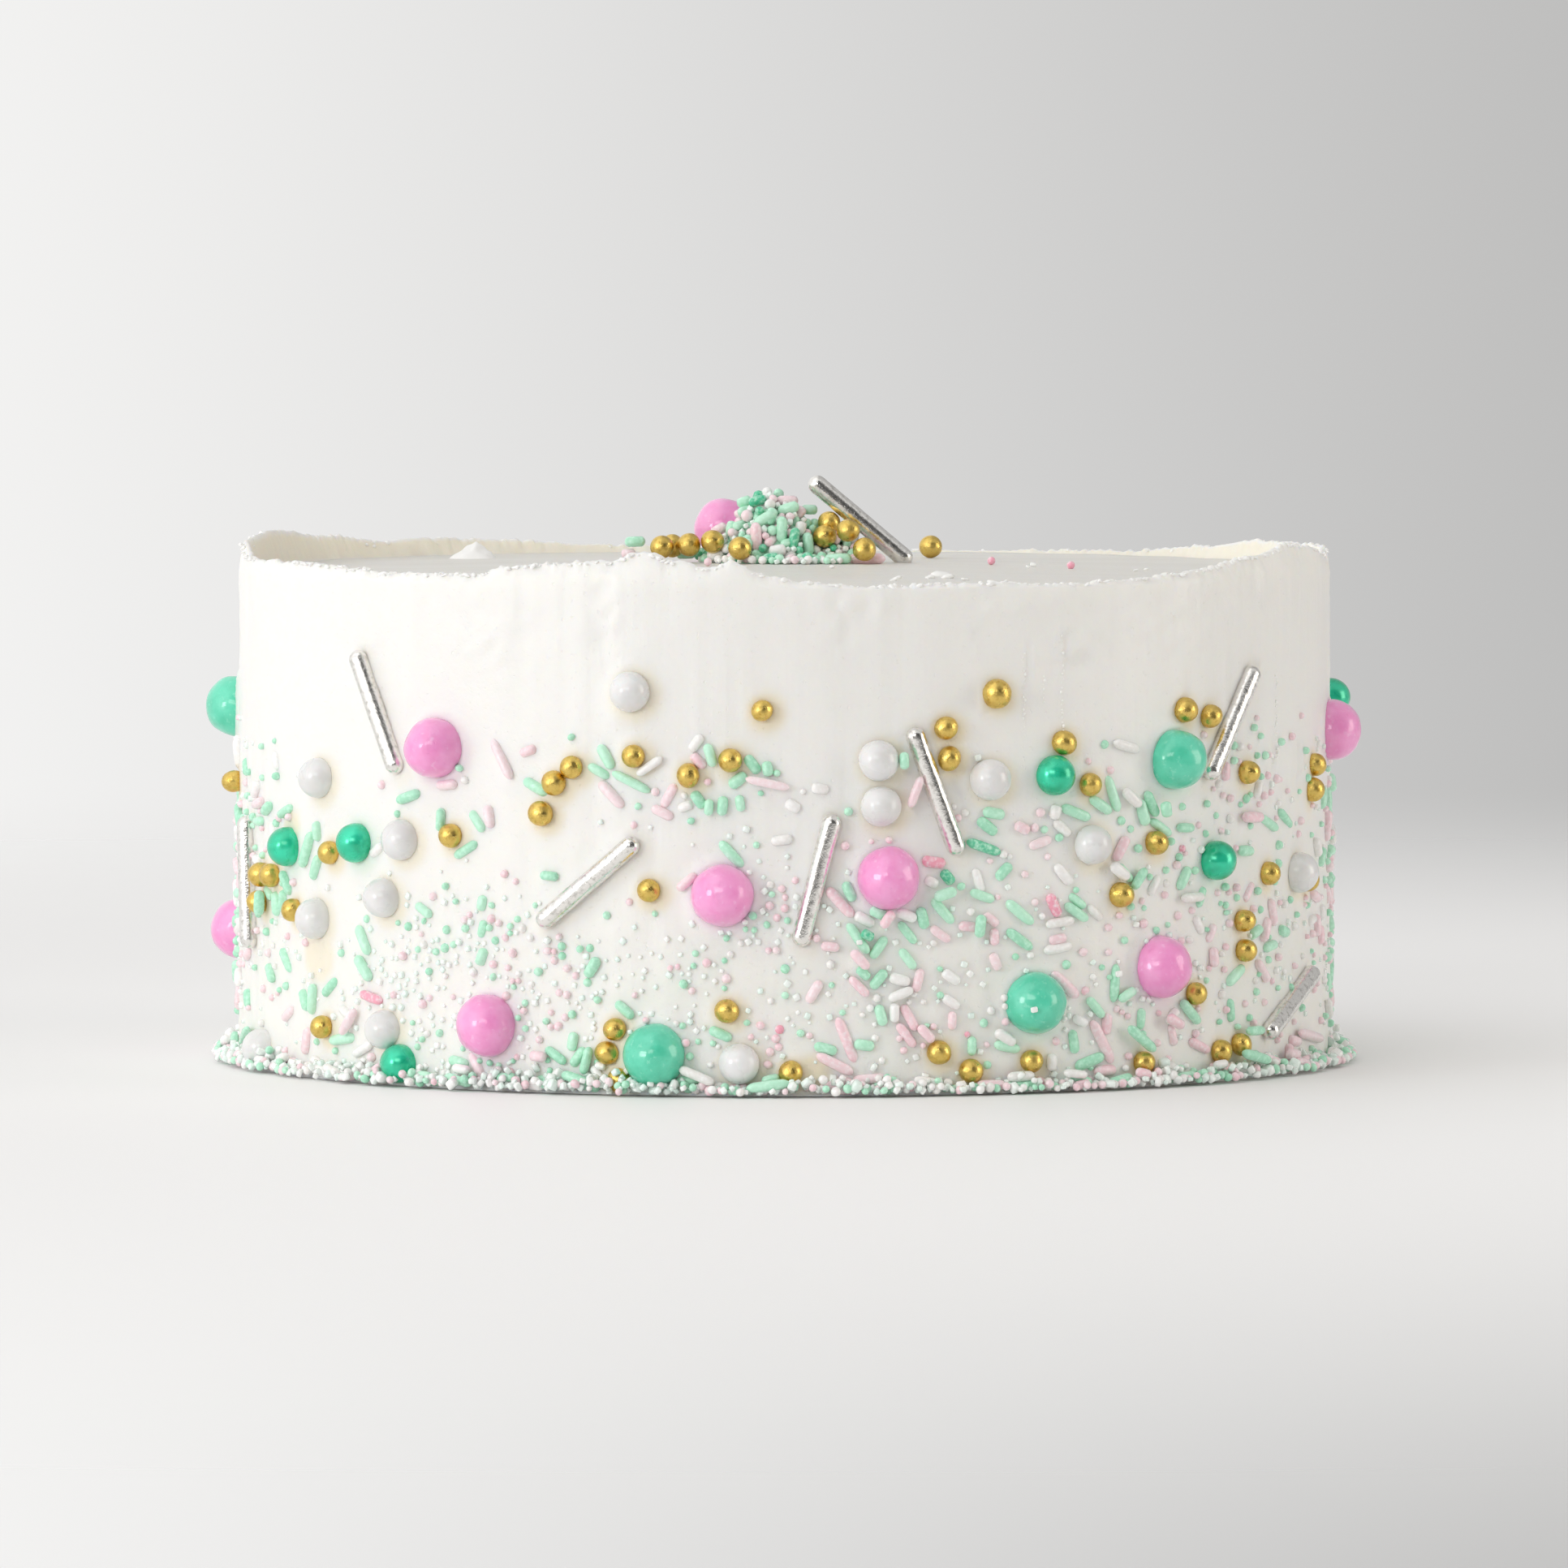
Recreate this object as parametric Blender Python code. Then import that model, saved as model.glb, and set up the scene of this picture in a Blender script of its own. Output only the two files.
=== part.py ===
"""A round iced layer cake, uncut: a drum of white icing with a torn rim that stands above its flat
top, a small heap of sprinkles in the middle of the top, and candy balls, metallic rods, pearls,
gold beads and sprinkles pressed into its side. It rests on its flat foot at z = 0.

Azimuths turn about the cake's upright middle: 0 faces the viewer at -Y, 90 degrees is at +X.
"""

import math
import random

import bmesh
import bpy
from mathutils import Matrix, Vector, noise

# The iced drum
CAKE_RADIUS = 0.0975
TOP_HEIGHT = 0.0870
WALL_WAVE = 0.0006
RIM_THICKNESS = 0.0034
CREST_THICKNESS = 0.0012
FOOT_REACH = 0.0040
FOOT_HEIGHT = 0.0036
DRUM_SEGMENTS = 80

# The rim's rise above the flat top, as (azimuth in degrees, millimetres)
RIM_RISES = (
    (-180, 0.5), (-158, 1.5), (-149, 2.6), (-136, 3.3), (-122, 4.3), (-105, 6.0),
    (-90, 4.5), (-75, 2.6), (-60, 2.8), (-45, 1.8), (-33, 1.9), (-30, 3.2),
    (-19, 4.5), (-14, 5.9), (-8, 3.4), (-5, 4.5), (-1, 1.9), (8, 0.3),
    (22, 0.8), (29, 0.3), (40, 1.1), (48, 2.1), (58, 4.0), (67, 5.8),
    (75, 4.5), (90, 3.5), (116, 3.7), (127, 2.2), (140, 0.9), (160, 0.4), (180, 0.5),
)

# The candies: their sizes, and how far each one's middle stands out from the wall
CANDY_BALL_RADIUS, CANDY_BALL_LIFT = 0.00525, 0.0011
PEARL_RADIUS, PEARL_LIFT = 0.0035, 0.0009
GOLD_RADIUS, GOLD_LIFT = 0.0021, 0.0009
ROD_RADIUS, ROD_LIFT, ROD_LENGTH = 0.0017, 0.0008, 0.0235
JIMMY_RADIUS, JIMMY_LIFT = 0.0009, 0.0004
JIMMY_LENGTHS = (0.0035, 0.0070)
FIT_GAP = 0.0003

# How the photograph shows the wall: the eye's distance and height, and, in its pixels, the focal
# length, the cake's middle column, the eye's own row, and how much the cake leans to the right
EYE_DISTANCE, EYE_HEIGHT = 2.400, 0.170
FOCAL_PIXELS, MIDDLE_COLUMN, HORIZON_ROW = 12173, 962, 253
TOP_ROW, FOOT_ROW, FOOT_LEAN = 650, 1115, 0.034

# Where the photograph shows each candy's middle, as (column, row)
PINK_BALLS_SEEN = ((645, 831), (906, 968), (1057, 956), (692, 1079), (1305, 1044), (1459, 825))
MINT_BALLS_SEEN = ((1318, 851), (1190, 1074), (844, 1111))
WHITE_PEARLS_SEEN = (
    (822, 783), (539, 856), (614, 912), (598, 963), (536, 980), (534, 1010), (599, 1080),
    (487, 1102), (1048, 848), (1050, 890), (1149, 867), (1242, 929), (921, 1121), (1430, 959),
)
GREEN_PEARLS_SEEN = ((511, 916), (573, 914), (1208, 864), (1355, 946), (613, 1113))
GOLD_BEADS_SEEN = (
    (942, 801), (825, 841), (875, 859), (913, 846), (769, 850), (753, 864), (741, 891),
    (659, 909), (549, 922), (511, 897), (487, 940), (496, 941), (516, 972), (485, 964),
    (542, 1076), (839, 962), (910, 1073), (808, 1086), (801, 1107), (812, 1134), (968, 1131),
    (984, 1129), (1103, 1117), (1132, 1135), (1187, 1128), (1289, 1133), (1359, 1125),
    (1377, 1119), (1336, 1070), (1381, 1031), (1380, 1003), (1402, 959), (1300, 928),
    (1268, 976), (1155, 788), (1109, 819), (1112, 847), (1216, 834), (1326, 805), (1349, 811),
    (1240, 873), (1383, 864), (1444, 858), (1442, 881), (463, 858), (1438, 966),
)
# Those that show from just behind the wall's edges, as (azimuth in degrees, height)
PINK_BALL_BEHIND_EDGE = (-98, 0.0221)
MINT_BALL_BEHIND_EDGE = (-94, 0.0624)
GREEN_PEARL_BEHIND_EDGE = (95, 0.0639)
# Each rod's two ends, as it is seen
RODS_SEEN = (
    ((577, 753), (609, 844)), ((744, 987), (825, 920)), ((1006, 901), (977, 1011)),
    ((1081, 826), (1118, 928)), ((1383, 778), (1351, 857)), ((1437, 1058), (1404, 1104)),
    ((474, 893), (477, 1000)),
)
# The largest jimmies, as (column, row, tilt to the right in degrees, length), as they are seen
JIMMIES_SEEN = (
    (823, 864, -62, 39), (914, 931, -42, 32), (1018, 1104, -18, 47), (1008, 1124, -60, 38),
    (1263, 1058, 3, 35), (1250, 1109, -15, 40), (1282, 1111, -42, 32), (1143, 928, -65, 31),
    (705, 842, -27, 39), (805, 875, -38, 32), (1028, 1009, -30, 33), (1262, 888, -10, 30),
    (884, 1130, -60, 36), (948, 1141, 85, 40), (1216, 1058, -45, 32), (579, 1000, -20, 26),
)
# Nearer the wall's edges than this azimuth, a large candy has no twin on the far half
TWIN_LIMIT = math.radians(75)

# The heap of sprinkles on the top, from its own middle outwards and up
HEAP_MIDDLE = Vector((-0.0010, 0.0080, TOP_HEIGHT + FIT_GAP))
HEAP_PROFILE = (
    (0.0, 0.0), (0.0165, 0.0), (0.0155, 0.0016), (0.0115, 0.0034), (0.0092, 0.0072),
    (0.0045, 0.0108), (0.0, 0.0120),
)
HEAP_SEGMENTS = 20
HEAP_JIMMIES = 26
HEAP_GOLD_SEEN = (
    (851, 653), (861, 652), (876, 651), (897, 648), (922, 654), (1003, 631), (999, 643),
    (1020, 638), (1035, 655),
)
HEAP_GOLD_DEPTHS = (0.004, 0.007, 0.004, 0.003, -0.004, 0.006, 0.004, 0.001, -0.002)
HEAP_BALL_MIDDLE = Vector((-0.0108, 0.0150, TOP_HEIGHT + 0.0072))
HEAP_ROD_ENDS = (
    Vector((0.0060, 0.0060, TOP_HEIGHT + 0.0151)),
    Vector((0.0214, 0.0060, TOP_HEIGHT + 0.0021)),
)
HEAP_SEED = 72


def clear_scene():
    for old in list(bpy.data.objects):
        bpy.data.objects.remove(old, do_unlink=True)


def finish(name, colour, roughness, metallic=0.0):
    made = bpy.data.materials.new(name)
    made.use_nodes = True
    shader = made.node_tree.nodes["Principled BSDF"]
    shader.inputs["Base Color"].default_value = (*colour, 1.0)
    shader.inputs["Roughness"].default_value = roughness
    shader.inputs["Metallic"].default_value = metallic
    return made


def add_object(name, shape, material, collection=None, location=(0, 0, 0)):
    mesh = bpy.data.meshes.new(name)
    shape.to_mesh(mesh)
    shape.free()
    mesh.materials.append(material)
    made = bpy.data.objects.new(name, mesh)
    made.location = location
    (collection or bpy.context.scene.collection).objects.link(made)
    return made


# Places on the wall
def outward(azimuth):
    return Vector((math.sin(azimuth), -math.cos(azimuth), 0.0))


def wall_point(azimuth, height, lift=0.0):
    point = outward(azimuth) * (CAKE_RADIUS + lift)
    point.z = height
    return point


def seen_on_wall(column, row, lift=0.0):
    """The (azimuth, height) on the near half of the wall that the photograph shows at a pixel."""
    row -= (column - MIDDLE_COLUMN) * FOOT_LEAN * (row - TOP_ROW) / (FOOT_ROW - TOP_ROW)
    radius = CAKE_RADIUS + lift
    slope = (column - MIDDLE_COLUMN) / FOCAL_PIXELS
    spread = slope * slope * EYE_DISTANCE
    past_edge = spread * EYE_DISTANCE - radius * radius
    inside = spread * spread - (1 + slope * slope) * past_edge
    nearness = (-spread - math.sqrt(max(inside, 0.0))) / (1 + slope * slope)
    across = slope * (EYE_DISTANCE + nearness)
    height = EYE_HEIGHT - (row - HORIZON_ROW) / FOCAL_PIXELS * (EYE_DISTANCE + nearness)
    return math.atan2(across, -nearness), height


def behind_edge(place):
    return math.radians(place[0]), place[1]


def wall_direction(azimuth, tilt):
    """A direction along the wall, tilted clockwise from upright as the wall is faced."""
    right = Vector((math.cos(azimuth), math.sin(azimuth), 0.0))
    return right * math.sin(tilt) + Vector((0, 0, math.cos(tilt)))


# The candies' shapes, each a pair of ends and a radius; a ball's ends meet
def ball_at(azimuth, height, radius, lift):
    middle = wall_point(azimuth, max(height, radius + FIT_GAP), lift)
    return middle, middle, radius


def pill_between(middle, direction, length, radius):
    half = direction.normalized() * (length / 2 - radius)
    return middle - half, middle + half, radius


def twins(pills):
    """The same pills turned half round, for the far half, which the photograph doesn't show."""
    turn = Matrix.Rotation(math.pi, 3, "Z")
    inner = [p for p in pills if abs(azimuth_of(p)) < TWIN_LIMIT or p[2] < PEARL_RADIUS / 2]
    return [(turn @ start, turn @ end, radius) for start, end, radius in inner]


def azimuth_of(pill):
    middle = (pill[0] + pill[1]) / 2
    return math.atan2(middle.x, -middle.y)


def clearance(one, other):
    """The gap between two pills, measured between points spread along them."""
    steps = [i / 8 for i in range(9)]
    ones = [one[0].lerp(one[1], s) for s in steps]
    others = [other[0].lerp(other[1], s) for s in steps]
    return min((p - q).length for p in ones for q in others) - one[2] - other[2]


def clear_of(pill, others, gap=FIT_GAP):
    return all(clearance(pill, other) > gap for other in others)


def pill_shape(pill, extra=0.0, sides=8, bands=5):
    """A round-ended pill in place, grown by extra all round, or a ball where its ends meet. A pill
    takes an odd number of bands, the middle one its barrel; a ball's pole faces straight out."""
    start, end, radius = pill
    middle = (start + end) / 2
    axis = end - start
    is_ball = axis.length == 0
    if not is_ball:
        radius /= math.cos(math.pi / bands / 2)
    shape = bmesh.new()
    bmesh.ops.create_uvsphere(shape, u_segments=sides, v_segments=bands, radius=radius + extra)
    for vertex in shape.verts:
        vertex.co.z += math.copysign(axis.length / 2, vertex.co.z)
    pole = Vector((middle.x, middle.y, 0.0)) if is_ball else axis
    turn = Vector((0, 0, 1)).rotation_difference(pole).to_matrix()
    bmesh.ops.rotate(shape, matrix=turn, verts=shape.verts)
    bmesh.ops.translate(shape, vec=middle, verts=shape.verts)
    return shape


# Boolean work on whole collections
def helper_collection(name):
    made = bpy.data.collections.new(name)
    bpy.context.scene.collection.children.link(made)
    return made


def combine(obj, collection, operation, solver="MANIFOLD"):
    modifier = obj.modifiers.new(operation.lower(), "BOOLEAN")
    modifier.operation = operation
    modifier.operand_type = "COLLECTION"
    modifier.collection = collection
    modifier.solver = solver
    graph = bpy.context.evaluated_depsgraph_get()
    combined = bpy.data.meshes.new_from_object(obj.evaluated_get(graph))
    obj.modifiers.clear()
    obj.data = combined
    for old in list(collection.objects):
        bpy.data.objects.remove(old, do_unlink=True)
    bpy.data.collections.remove(collection)
    keep_outer_shell(obj)


def keep_outer_shell(obj):
    """Drops loose scraps and the inner shells of sealed hollows, which fills them."""
    shape = bmesh.new()
    shape.from_mesh(obj.data)
    bmesh.ops.remove_doubles(shape, verts=shape.verts, dist=1e-6)
    left = set(shape.verts)
    shells = []
    while left:
        edge_of_search = [left.pop()]
        shell = list(edge_of_search)
        while edge_of_search:
            vertex = edge_of_search.pop()
            found = [e.other_vert(vertex) for e in vertex.link_edges]
            found = [v for v in found if v in left]
            left.difference_update(found)
            edge_of_search += found
            shell += found
        shells.append(shell)
    shells.sort(key=len)
    scraps = [vertex for shell in shells[:-1] for vertex in shell]
    bmesh.ops.delete(shape, geom=scraps, context="VERTS")
    shape.to_mesh(obj.data)
    shape.free()


# The iced drum
def rim_rise(azimuth):
    degrees = (math.degrees(azimuth) + 180) % 360 - 180
    for (low, low_rise), (high, high_rise) in zip(RIM_RISES, RIM_RISES[1:]):
        if low <= degrees <= high:
            share = (degrees - low) / (high - low)
            return (low_rise + (high_rise - low_rise) * share) / 1000
    return RIM_RISES[0][1] / 1000


def drum_profile():
    """(radius, height) from the foot's middle, out, up the wall, over the rim and in along the top.
    Heights above the top are shares of the rim's rise."""
    wall = [(CAKE_RADIUS, TOP_HEIGHT * share) for share in (0.10, 0.55, 0.95)]
    return [
        (0.0, 0.0),
        (CAKE_RADIUS + FOOT_REACH * 0.7, 0.0),
        (CAKE_RADIUS + FOOT_REACH, FOOT_HEIGHT * 0.35),
        (CAKE_RADIUS + FOOT_REACH * 0.5, FOOT_HEIGHT),
        *wall,
        (CAKE_RADIUS - 0.0004, TOP_HEIGHT + 0.4),
        (CAKE_RADIUS - 0.0012, TOP_HEIGHT + 1.0),
        (CAKE_RADIUS - 0.0012 - CREST_THICKNESS, TOP_HEIGHT + 0.95),
        (CAKE_RADIUS - RIM_THICKNESS, TOP_HEIGHT),
        (0.0, TOP_HEIGHT),
    ]


def shape_drum_vertex(point):
    """The turned drum's point with the wall's waves, the uneven foot and the torn rim worked in."""
    radius = math.hypot(point.x, point.y)
    azimuth = math.atan2(point.x, -point.y)
    height = point.z
    if height > TOP_HEIGHT + 0.1:
        height = TOP_HEIGHT + (height - TOP_HEIGHT) * rim_rise(azimuth)
    if radius > CAKE_RADIUS + 0.0001:
        lumps = 0.75 + 0.5 * noise.noise(outward(azimuth) * 9.0)
        radius = CAKE_RADIUS + (radius - CAKE_RADIUS) * lumps
    elif radius > CAKE_RADIUS - RIM_THICKNESS - 0.0001:
        seed_point = outward(azimuth) * 3.0 + Vector((0, 0, point.z * 18))
        radius += WALL_WAVE * noise.noise(seed_point)
    place = outward(azimuth) * radius
    return Vector((place.x, place.y, height))


def drum_shape():
    shape = bmesh.new()
    profile = [shape.verts.new((0, -radius, height)) for radius, height in drum_profile()]
    edges = [shape.edges.new(pair) for pair in zip(profile, profile[1:])]
    bmesh.ops.spin(
        shape, geom=profile + edges, cent=(0, 0, 0), axis=(0, 0, 1),
        angle=math.tau, steps=DRUM_SEGMENTS, use_merge=True, use_duplicate=False,
    )
    bmesh.ops.remove_doubles(shape, verts=shape.verts, dist=1e-6)
    for vertex in shape.verts:
        if vertex.co.xy.length > 1e-5:
            vertex.co = shape_drum_vertex(vertex.co)
    bmesh.ops.recalc_face_normals(shape, faces=shape.faces)
    return shape


# The pieces that stay separate, and those fused to the icing
def candy_balls(seen, hidden_one):
    places = [seen_on_wall(*pixel, CANDY_BALL_LIFT) for pixel in seen]
    places.append(behind_edge(hidden_one))
    return [ball_at(*place, CANDY_BALL_RADIUS, CANDY_BALL_LIFT) for place in places]


def pill_on_wall(seen_ends, radius, lift, length=None):
    """A pill flat on the wall between the two ends that are seen, or of its own known length."""
    (a1, h1), (a2, h2) = (seen_on_wall(*pixel, lift) for pixel in seen_ends)
    azimuth = (a1 + a2) / 2
    height = max((h1 + h2) / 2, radius + FIT_GAP)
    across, up = (a2 - a1) * CAKE_RADIUS, h2 - h1
    direction = wall_direction(azimuth, math.atan2(across, up))
    return pill_between(
        wall_point(azimuth, height, lift), direction, length or math.hypot(across, up), radius
    )


def silver_rods():
    return [pill_on_wall(ends, ROD_RADIUS, ROD_LIFT, ROD_LENGTH) for ends in RODS_SEEN]


def beads(seen, radius, lift):
    return [ball_at(*seen_on_wall(*pixel, lift), radius, lift) for pixel in seen]


def large_jimmies():
    made = []
    for column, row, tilt, length in JIMMIES_SEEN:
        right = math.sin(math.radians(tilt)) * length / 2
        up = math.cos(math.radians(tilt)) * length / 2
        ends = (column - right, row + up), (column + right, row - up)
        made.append(pill_on_wall(ends, JIMMY_RADIUS, JIMMY_LIFT))
    return made


def sides_and_bands(pill):
    """How finely a separate candy is faceted; its socket is faceted the same way."""
    return (8, 6) if pill[0] == pill[1] else (8, 5)


def add_candies(name, pills, material, placed):
    """Adds each candy as its own object, unless an earlier one lies where it would be."""
    count = sum(obj.name.startswith(name) for obj in bpy.data.objects)
    for pill in pills:
        if not clear_of(pill, placed):
            continue
        count += 1
        placed.append(pill)
        middle = (pill[0] + pill[1]) / 2
        shape = pill_shape(pill, 0.0, *sides_and_bands(pill))
        bmesh.ops.translate(shape, vec=-middle, verts=shape.verts)
        add_object(f"{name}_{count:02d}", shape, material, location=middle)


def fuse(obj, pills, material, placed):
    """Joins small candies to obj, leaving out any that would cross a separate piece."""
    group = helper_collection(obj.name + "_pieces")
    for pill in pills:
        if clear_of(pill, placed):
            if pill[0] != pill[1]:
                sides, bands = 5, 3
            else:
                sides, bands = (8, 4) if pill[2] > GOLD_RADIUS else (6, 3)
            add_object("piece", pill_shape(pill, 0.0, sides, bands), material, group)
    combine(obj, group, "UNION")


def cut_sockets(obj, placed):
    """Presses each separate piece's socket into obj, a fitting gap larger than the piece."""
    group = helper_collection(obj.name + "_sockets")
    for pill in placed:
        shape = pill_shape(pill, FIT_GAP, *sides_and_bands(pill))
        add_object("socket", shape, obj.data.materials[0], group)
    combine(obj, group, "DIFFERENCE")


# The heap on the top
def heap_core():
    shape = bmesh.new()
    profile = [shape.verts.new((0, -radius, height)) for radius, height in HEAP_PROFILE]
    edges = [shape.edges.new(pair) for pair in zip(profile, profile[1:])]
    bmesh.ops.spin(
        shape, geom=profile + edges, cent=(0, 0, 0), axis=(0, 0, 1),
        angle=math.tau, steps=HEAP_SEGMENTS, use_merge=True, use_duplicate=False,
    )
    bmesh.ops.remove_doubles(shape, verts=shape.verts, dist=1e-6)
    for vertex in shape.verts:
        swell = 1 + 0.22 * noise.noise(vertex.co * 160)
        vertex.co.x *= swell
        vertex.co.y *= swell
        vertex.co.z *= swell
    bmesh.ops.translate(shape, vec=HEAP_MIDDLE, verts=shape.verts)
    bmesh.ops.recalc_face_normals(shape, faces=shape.faces)
    return shape


def heap_gold():
    made = []
    for (column, row), depth in zip(HEAP_GOLD_SEEN, HEAP_GOLD_DEPTHS):
        scale = (EYE_DISTANCE + depth) / FOCAL_PIXELS
        height = EYE_HEIGHT - (row - HORIZON_ROW) * scale
        height = max(height, TOP_HEIGHT + FIT_GAP + GOLD_RADIUS)
        middle = Vector(((column - MIDDLE_COLUMN) * scale, depth, height))
        made.append((middle, middle, GOLD_RADIUS))
    return made


def heap_jimmies():
    """Jimmies lying every way over the mound's face, from its foot to its crown."""
    draw = random.Random(HEAP_SEED)
    made = []
    for index in range(HEAP_JIMMIES):
        azimuth = index * math.pi * (3 - math.sqrt(5))
        rise = (index + 0.5) / HEAP_JIMMIES
        reach = 0.0135 * math.sqrt(1 - rise) + 0.0008
        middle = HEAP_MIDDLE + outward(azimuth) * reach
        middle.z += 0.0016 + 0.0098 * rise
        direction = Vector((draw.uniform(-1, 1), draw.uniform(-1, 1), draw.uniform(-0.5, 0.5)))
        length = draw.uniform(*JIMMY_LENGTHS)
        made.append(pill_between(middle, direction, length, JIMMY_RADIUS))
    return [pill for pill in made if min(pill[0].z, pill[1].z) > HEAP_MIDDLE.z + JIMMY_RADIUS]


def build():
    clear_scene()
    icing = finish("icing", (0.86, 0.84, 0.79), 0.5)
    pink = finish("pink_candy", (0.84, 0.30, 0.56), 0.25)
    mint = finish("mint_candy", (0.12, 0.52, 0.34), 0.25)
    silver = finish("silver_shell", (0.75, 0.73, 0.70), 0.25, metallic=1.0)
    mix = finish("sprinkle_mix", (0.50, 0.80, 0.65), 0.4)

    on_wall, on_top = [], []
    kinds = (
        ("pink_ball", candy_balls(PINK_BALLS_SEEN, PINK_BALL_BEHIND_EDGE), pink),
        ("mint_ball", candy_balls(MINT_BALLS_SEEN, MINT_BALL_BEHIND_EDGE), mint),
        ("silver_rod", silver_rods(), silver),
    )
    for name, pills, material in kinds:
        add_candies(name, pills, material, on_wall)
    for name, pills, material in kinds:
        add_candies(name, twins(pills), material, on_wall)
    heap_ball = (HEAP_BALL_MIDDLE, HEAP_BALL_MIDDLE, CANDY_BALL_RADIUS)
    add_candies("heap_ball", [heap_ball], pink, on_top)
    add_candies("heap_rod", [(*HEAP_ROD_ENDS, ROD_RADIUS)], silver, on_top)

    cake = add_object("iced_cake", drum_shape(), icing)
    pearls = beads(WHITE_PEARLS_SEEN + GREEN_PEARLS_SEEN, PEARL_RADIUS, PEARL_LIFT)
    pearls.append(ball_at(*behind_edge(GREEN_PEARL_BEHIND_EDGE), PEARL_RADIUS, PEARL_LIFT))
    gold = beads(GOLD_BEADS_SEEN, GOLD_RADIUS, GOLD_LIFT)
    small = pearls + gold + large_jimmies()
    fuse(cake, small + twins(small), icing, on_wall)
    cut_sockets(cake, on_wall)

    heap = add_object("sprinkle_heap", heap_core(), mix)
    fuse(heap, heap_gold() + heap_jimmies(), mix, on_top)
    cut_sockets(heap, on_top)


build()
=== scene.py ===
"""A white-iced layer cake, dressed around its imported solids: whipped buttercream with a torn rim,
candy balls, leafed rods, pearls, gold beads, sprinkles and sugar, and a heap of them on top."""

import math
import random
from itertools import combinations

import bmesh
import bpy
import numpy as np
from mathutils import Matrix, Vector, noise


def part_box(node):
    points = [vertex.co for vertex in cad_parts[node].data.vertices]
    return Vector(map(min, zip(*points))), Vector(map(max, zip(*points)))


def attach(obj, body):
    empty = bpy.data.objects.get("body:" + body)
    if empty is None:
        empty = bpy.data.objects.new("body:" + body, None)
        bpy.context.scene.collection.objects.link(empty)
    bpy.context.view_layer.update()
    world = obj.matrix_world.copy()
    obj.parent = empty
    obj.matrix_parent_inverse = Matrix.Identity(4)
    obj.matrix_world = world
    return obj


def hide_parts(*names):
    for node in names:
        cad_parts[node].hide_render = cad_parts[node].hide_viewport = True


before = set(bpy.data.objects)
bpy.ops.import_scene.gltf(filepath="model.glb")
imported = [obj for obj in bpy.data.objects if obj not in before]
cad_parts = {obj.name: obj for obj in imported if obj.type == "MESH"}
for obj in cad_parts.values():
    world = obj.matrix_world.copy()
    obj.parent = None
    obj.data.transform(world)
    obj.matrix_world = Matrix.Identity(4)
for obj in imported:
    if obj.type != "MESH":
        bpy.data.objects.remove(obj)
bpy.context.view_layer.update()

# The iced coat. One thick coat of whipped white buttercream covers the side, spread with a warm
# palette knife, and stands up past the flat top as a thin torn rim. It swells where candies were
# pressed in, and keeps upright drags, smears and a few crescent marks of the knife.
MILLIMETRE, WELD_DISTANCE = 0.001, 1e-6
CAKE_RADIUS, TOP_HEIGHT = 0.0975, 0.0870
# The photograph looks along +Y. Places in it are (column, row) in the pixels of its own frame, and
# the cake leans a little to the right in it, more so towards the foot.
EYE = Vector((0.0, -2.400, 0.170))
FOCAL_PIXELS, MIDDLE_COLUMN, HORIZON_ROW = 12173, 962, 253
TOP_ROW, FOOT_ROW, FOOT_LEAN = 650, 1115, 0.034
PIXEL = 0.0001905
# The rim's rise above the top in millimetres, by azimuth in degrees: 0 in front, 90 on the right
RIM_RISES = (
    (-180, 0.5), (-158, 1.5), (-149, 2.6), (-136, 3.3), (-129, 2.9), (-122, 4.3), (-105, 6.0),
    (-90, 4.5), (-75, 2.6), (-60, 2.8), (-45, 1.8), (-33, 1.9), (-30, 3.2), (-25, 3.9),
    (-19, 4.5), (-14, 5.9), (-11, 4.6), (-8, 3.4), (-5.5, 4.5), (-1, 1.9), (3, 0.9), (8, 0.3),
    (15, 0.6), (22, 0.8), (29, 0.3), (34, 0.6), (40, 1.1), (48, 2.1), (58, 4.0), (67, 5.8),
    (75, 4.5), (82, 3.1), (90, 3.5), (103, 3.8), (116, 3.7), (127, 2.2), (140, 0.9),
    (160, 0.4), (180, 0.5),
)
COAT_SECTORS, SECTOR_STEPS, WALL_ROWS = 8, 92, 84
RIM_THICKNESS, CREST_SETBACK, CREST_THICKNESS = 0.0034, 0.0009, 0.0009
FOOT_INSET, FOOT_LIP, COAT_LAP = 0.003, 0.0012, 0.0012
# Above this height the coat is cut finer, for the rim's teeth
FINE_FROM = TOP_HEIGHT * 0.955
# The wall's relief in metres: its broad swell, its upright bands, a crescent's lip and its groove
SWELL_DEPTH, BAND_DEPTH, CRESCENT_LIP, CRESCENT_GROOVE = 0.0006, 0.00028, 0.00045, 0.00032
# In millimetres: the fine drags, how much deeper they are in patches, and the wrinkles
DRAG_DEPTH, DRAG_PATCH_DEPTH, WRINKLE_DEPTH = 0.12, 0.16, 0.075
# In millimetres: the rim's large and small teeth, how far it leans, curls and is rough, and the
# relief of its inner face
TOOTH_DEPTH, CHIP_DEPTH = 0.42, 0.62
RIM_LEAN, RIM_CURL, RIM_ROUGHNESS, RIM_SCORING, RIM_WRINKLE = 0.7, 0.25, 0.16, 0.25, 0.30
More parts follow.
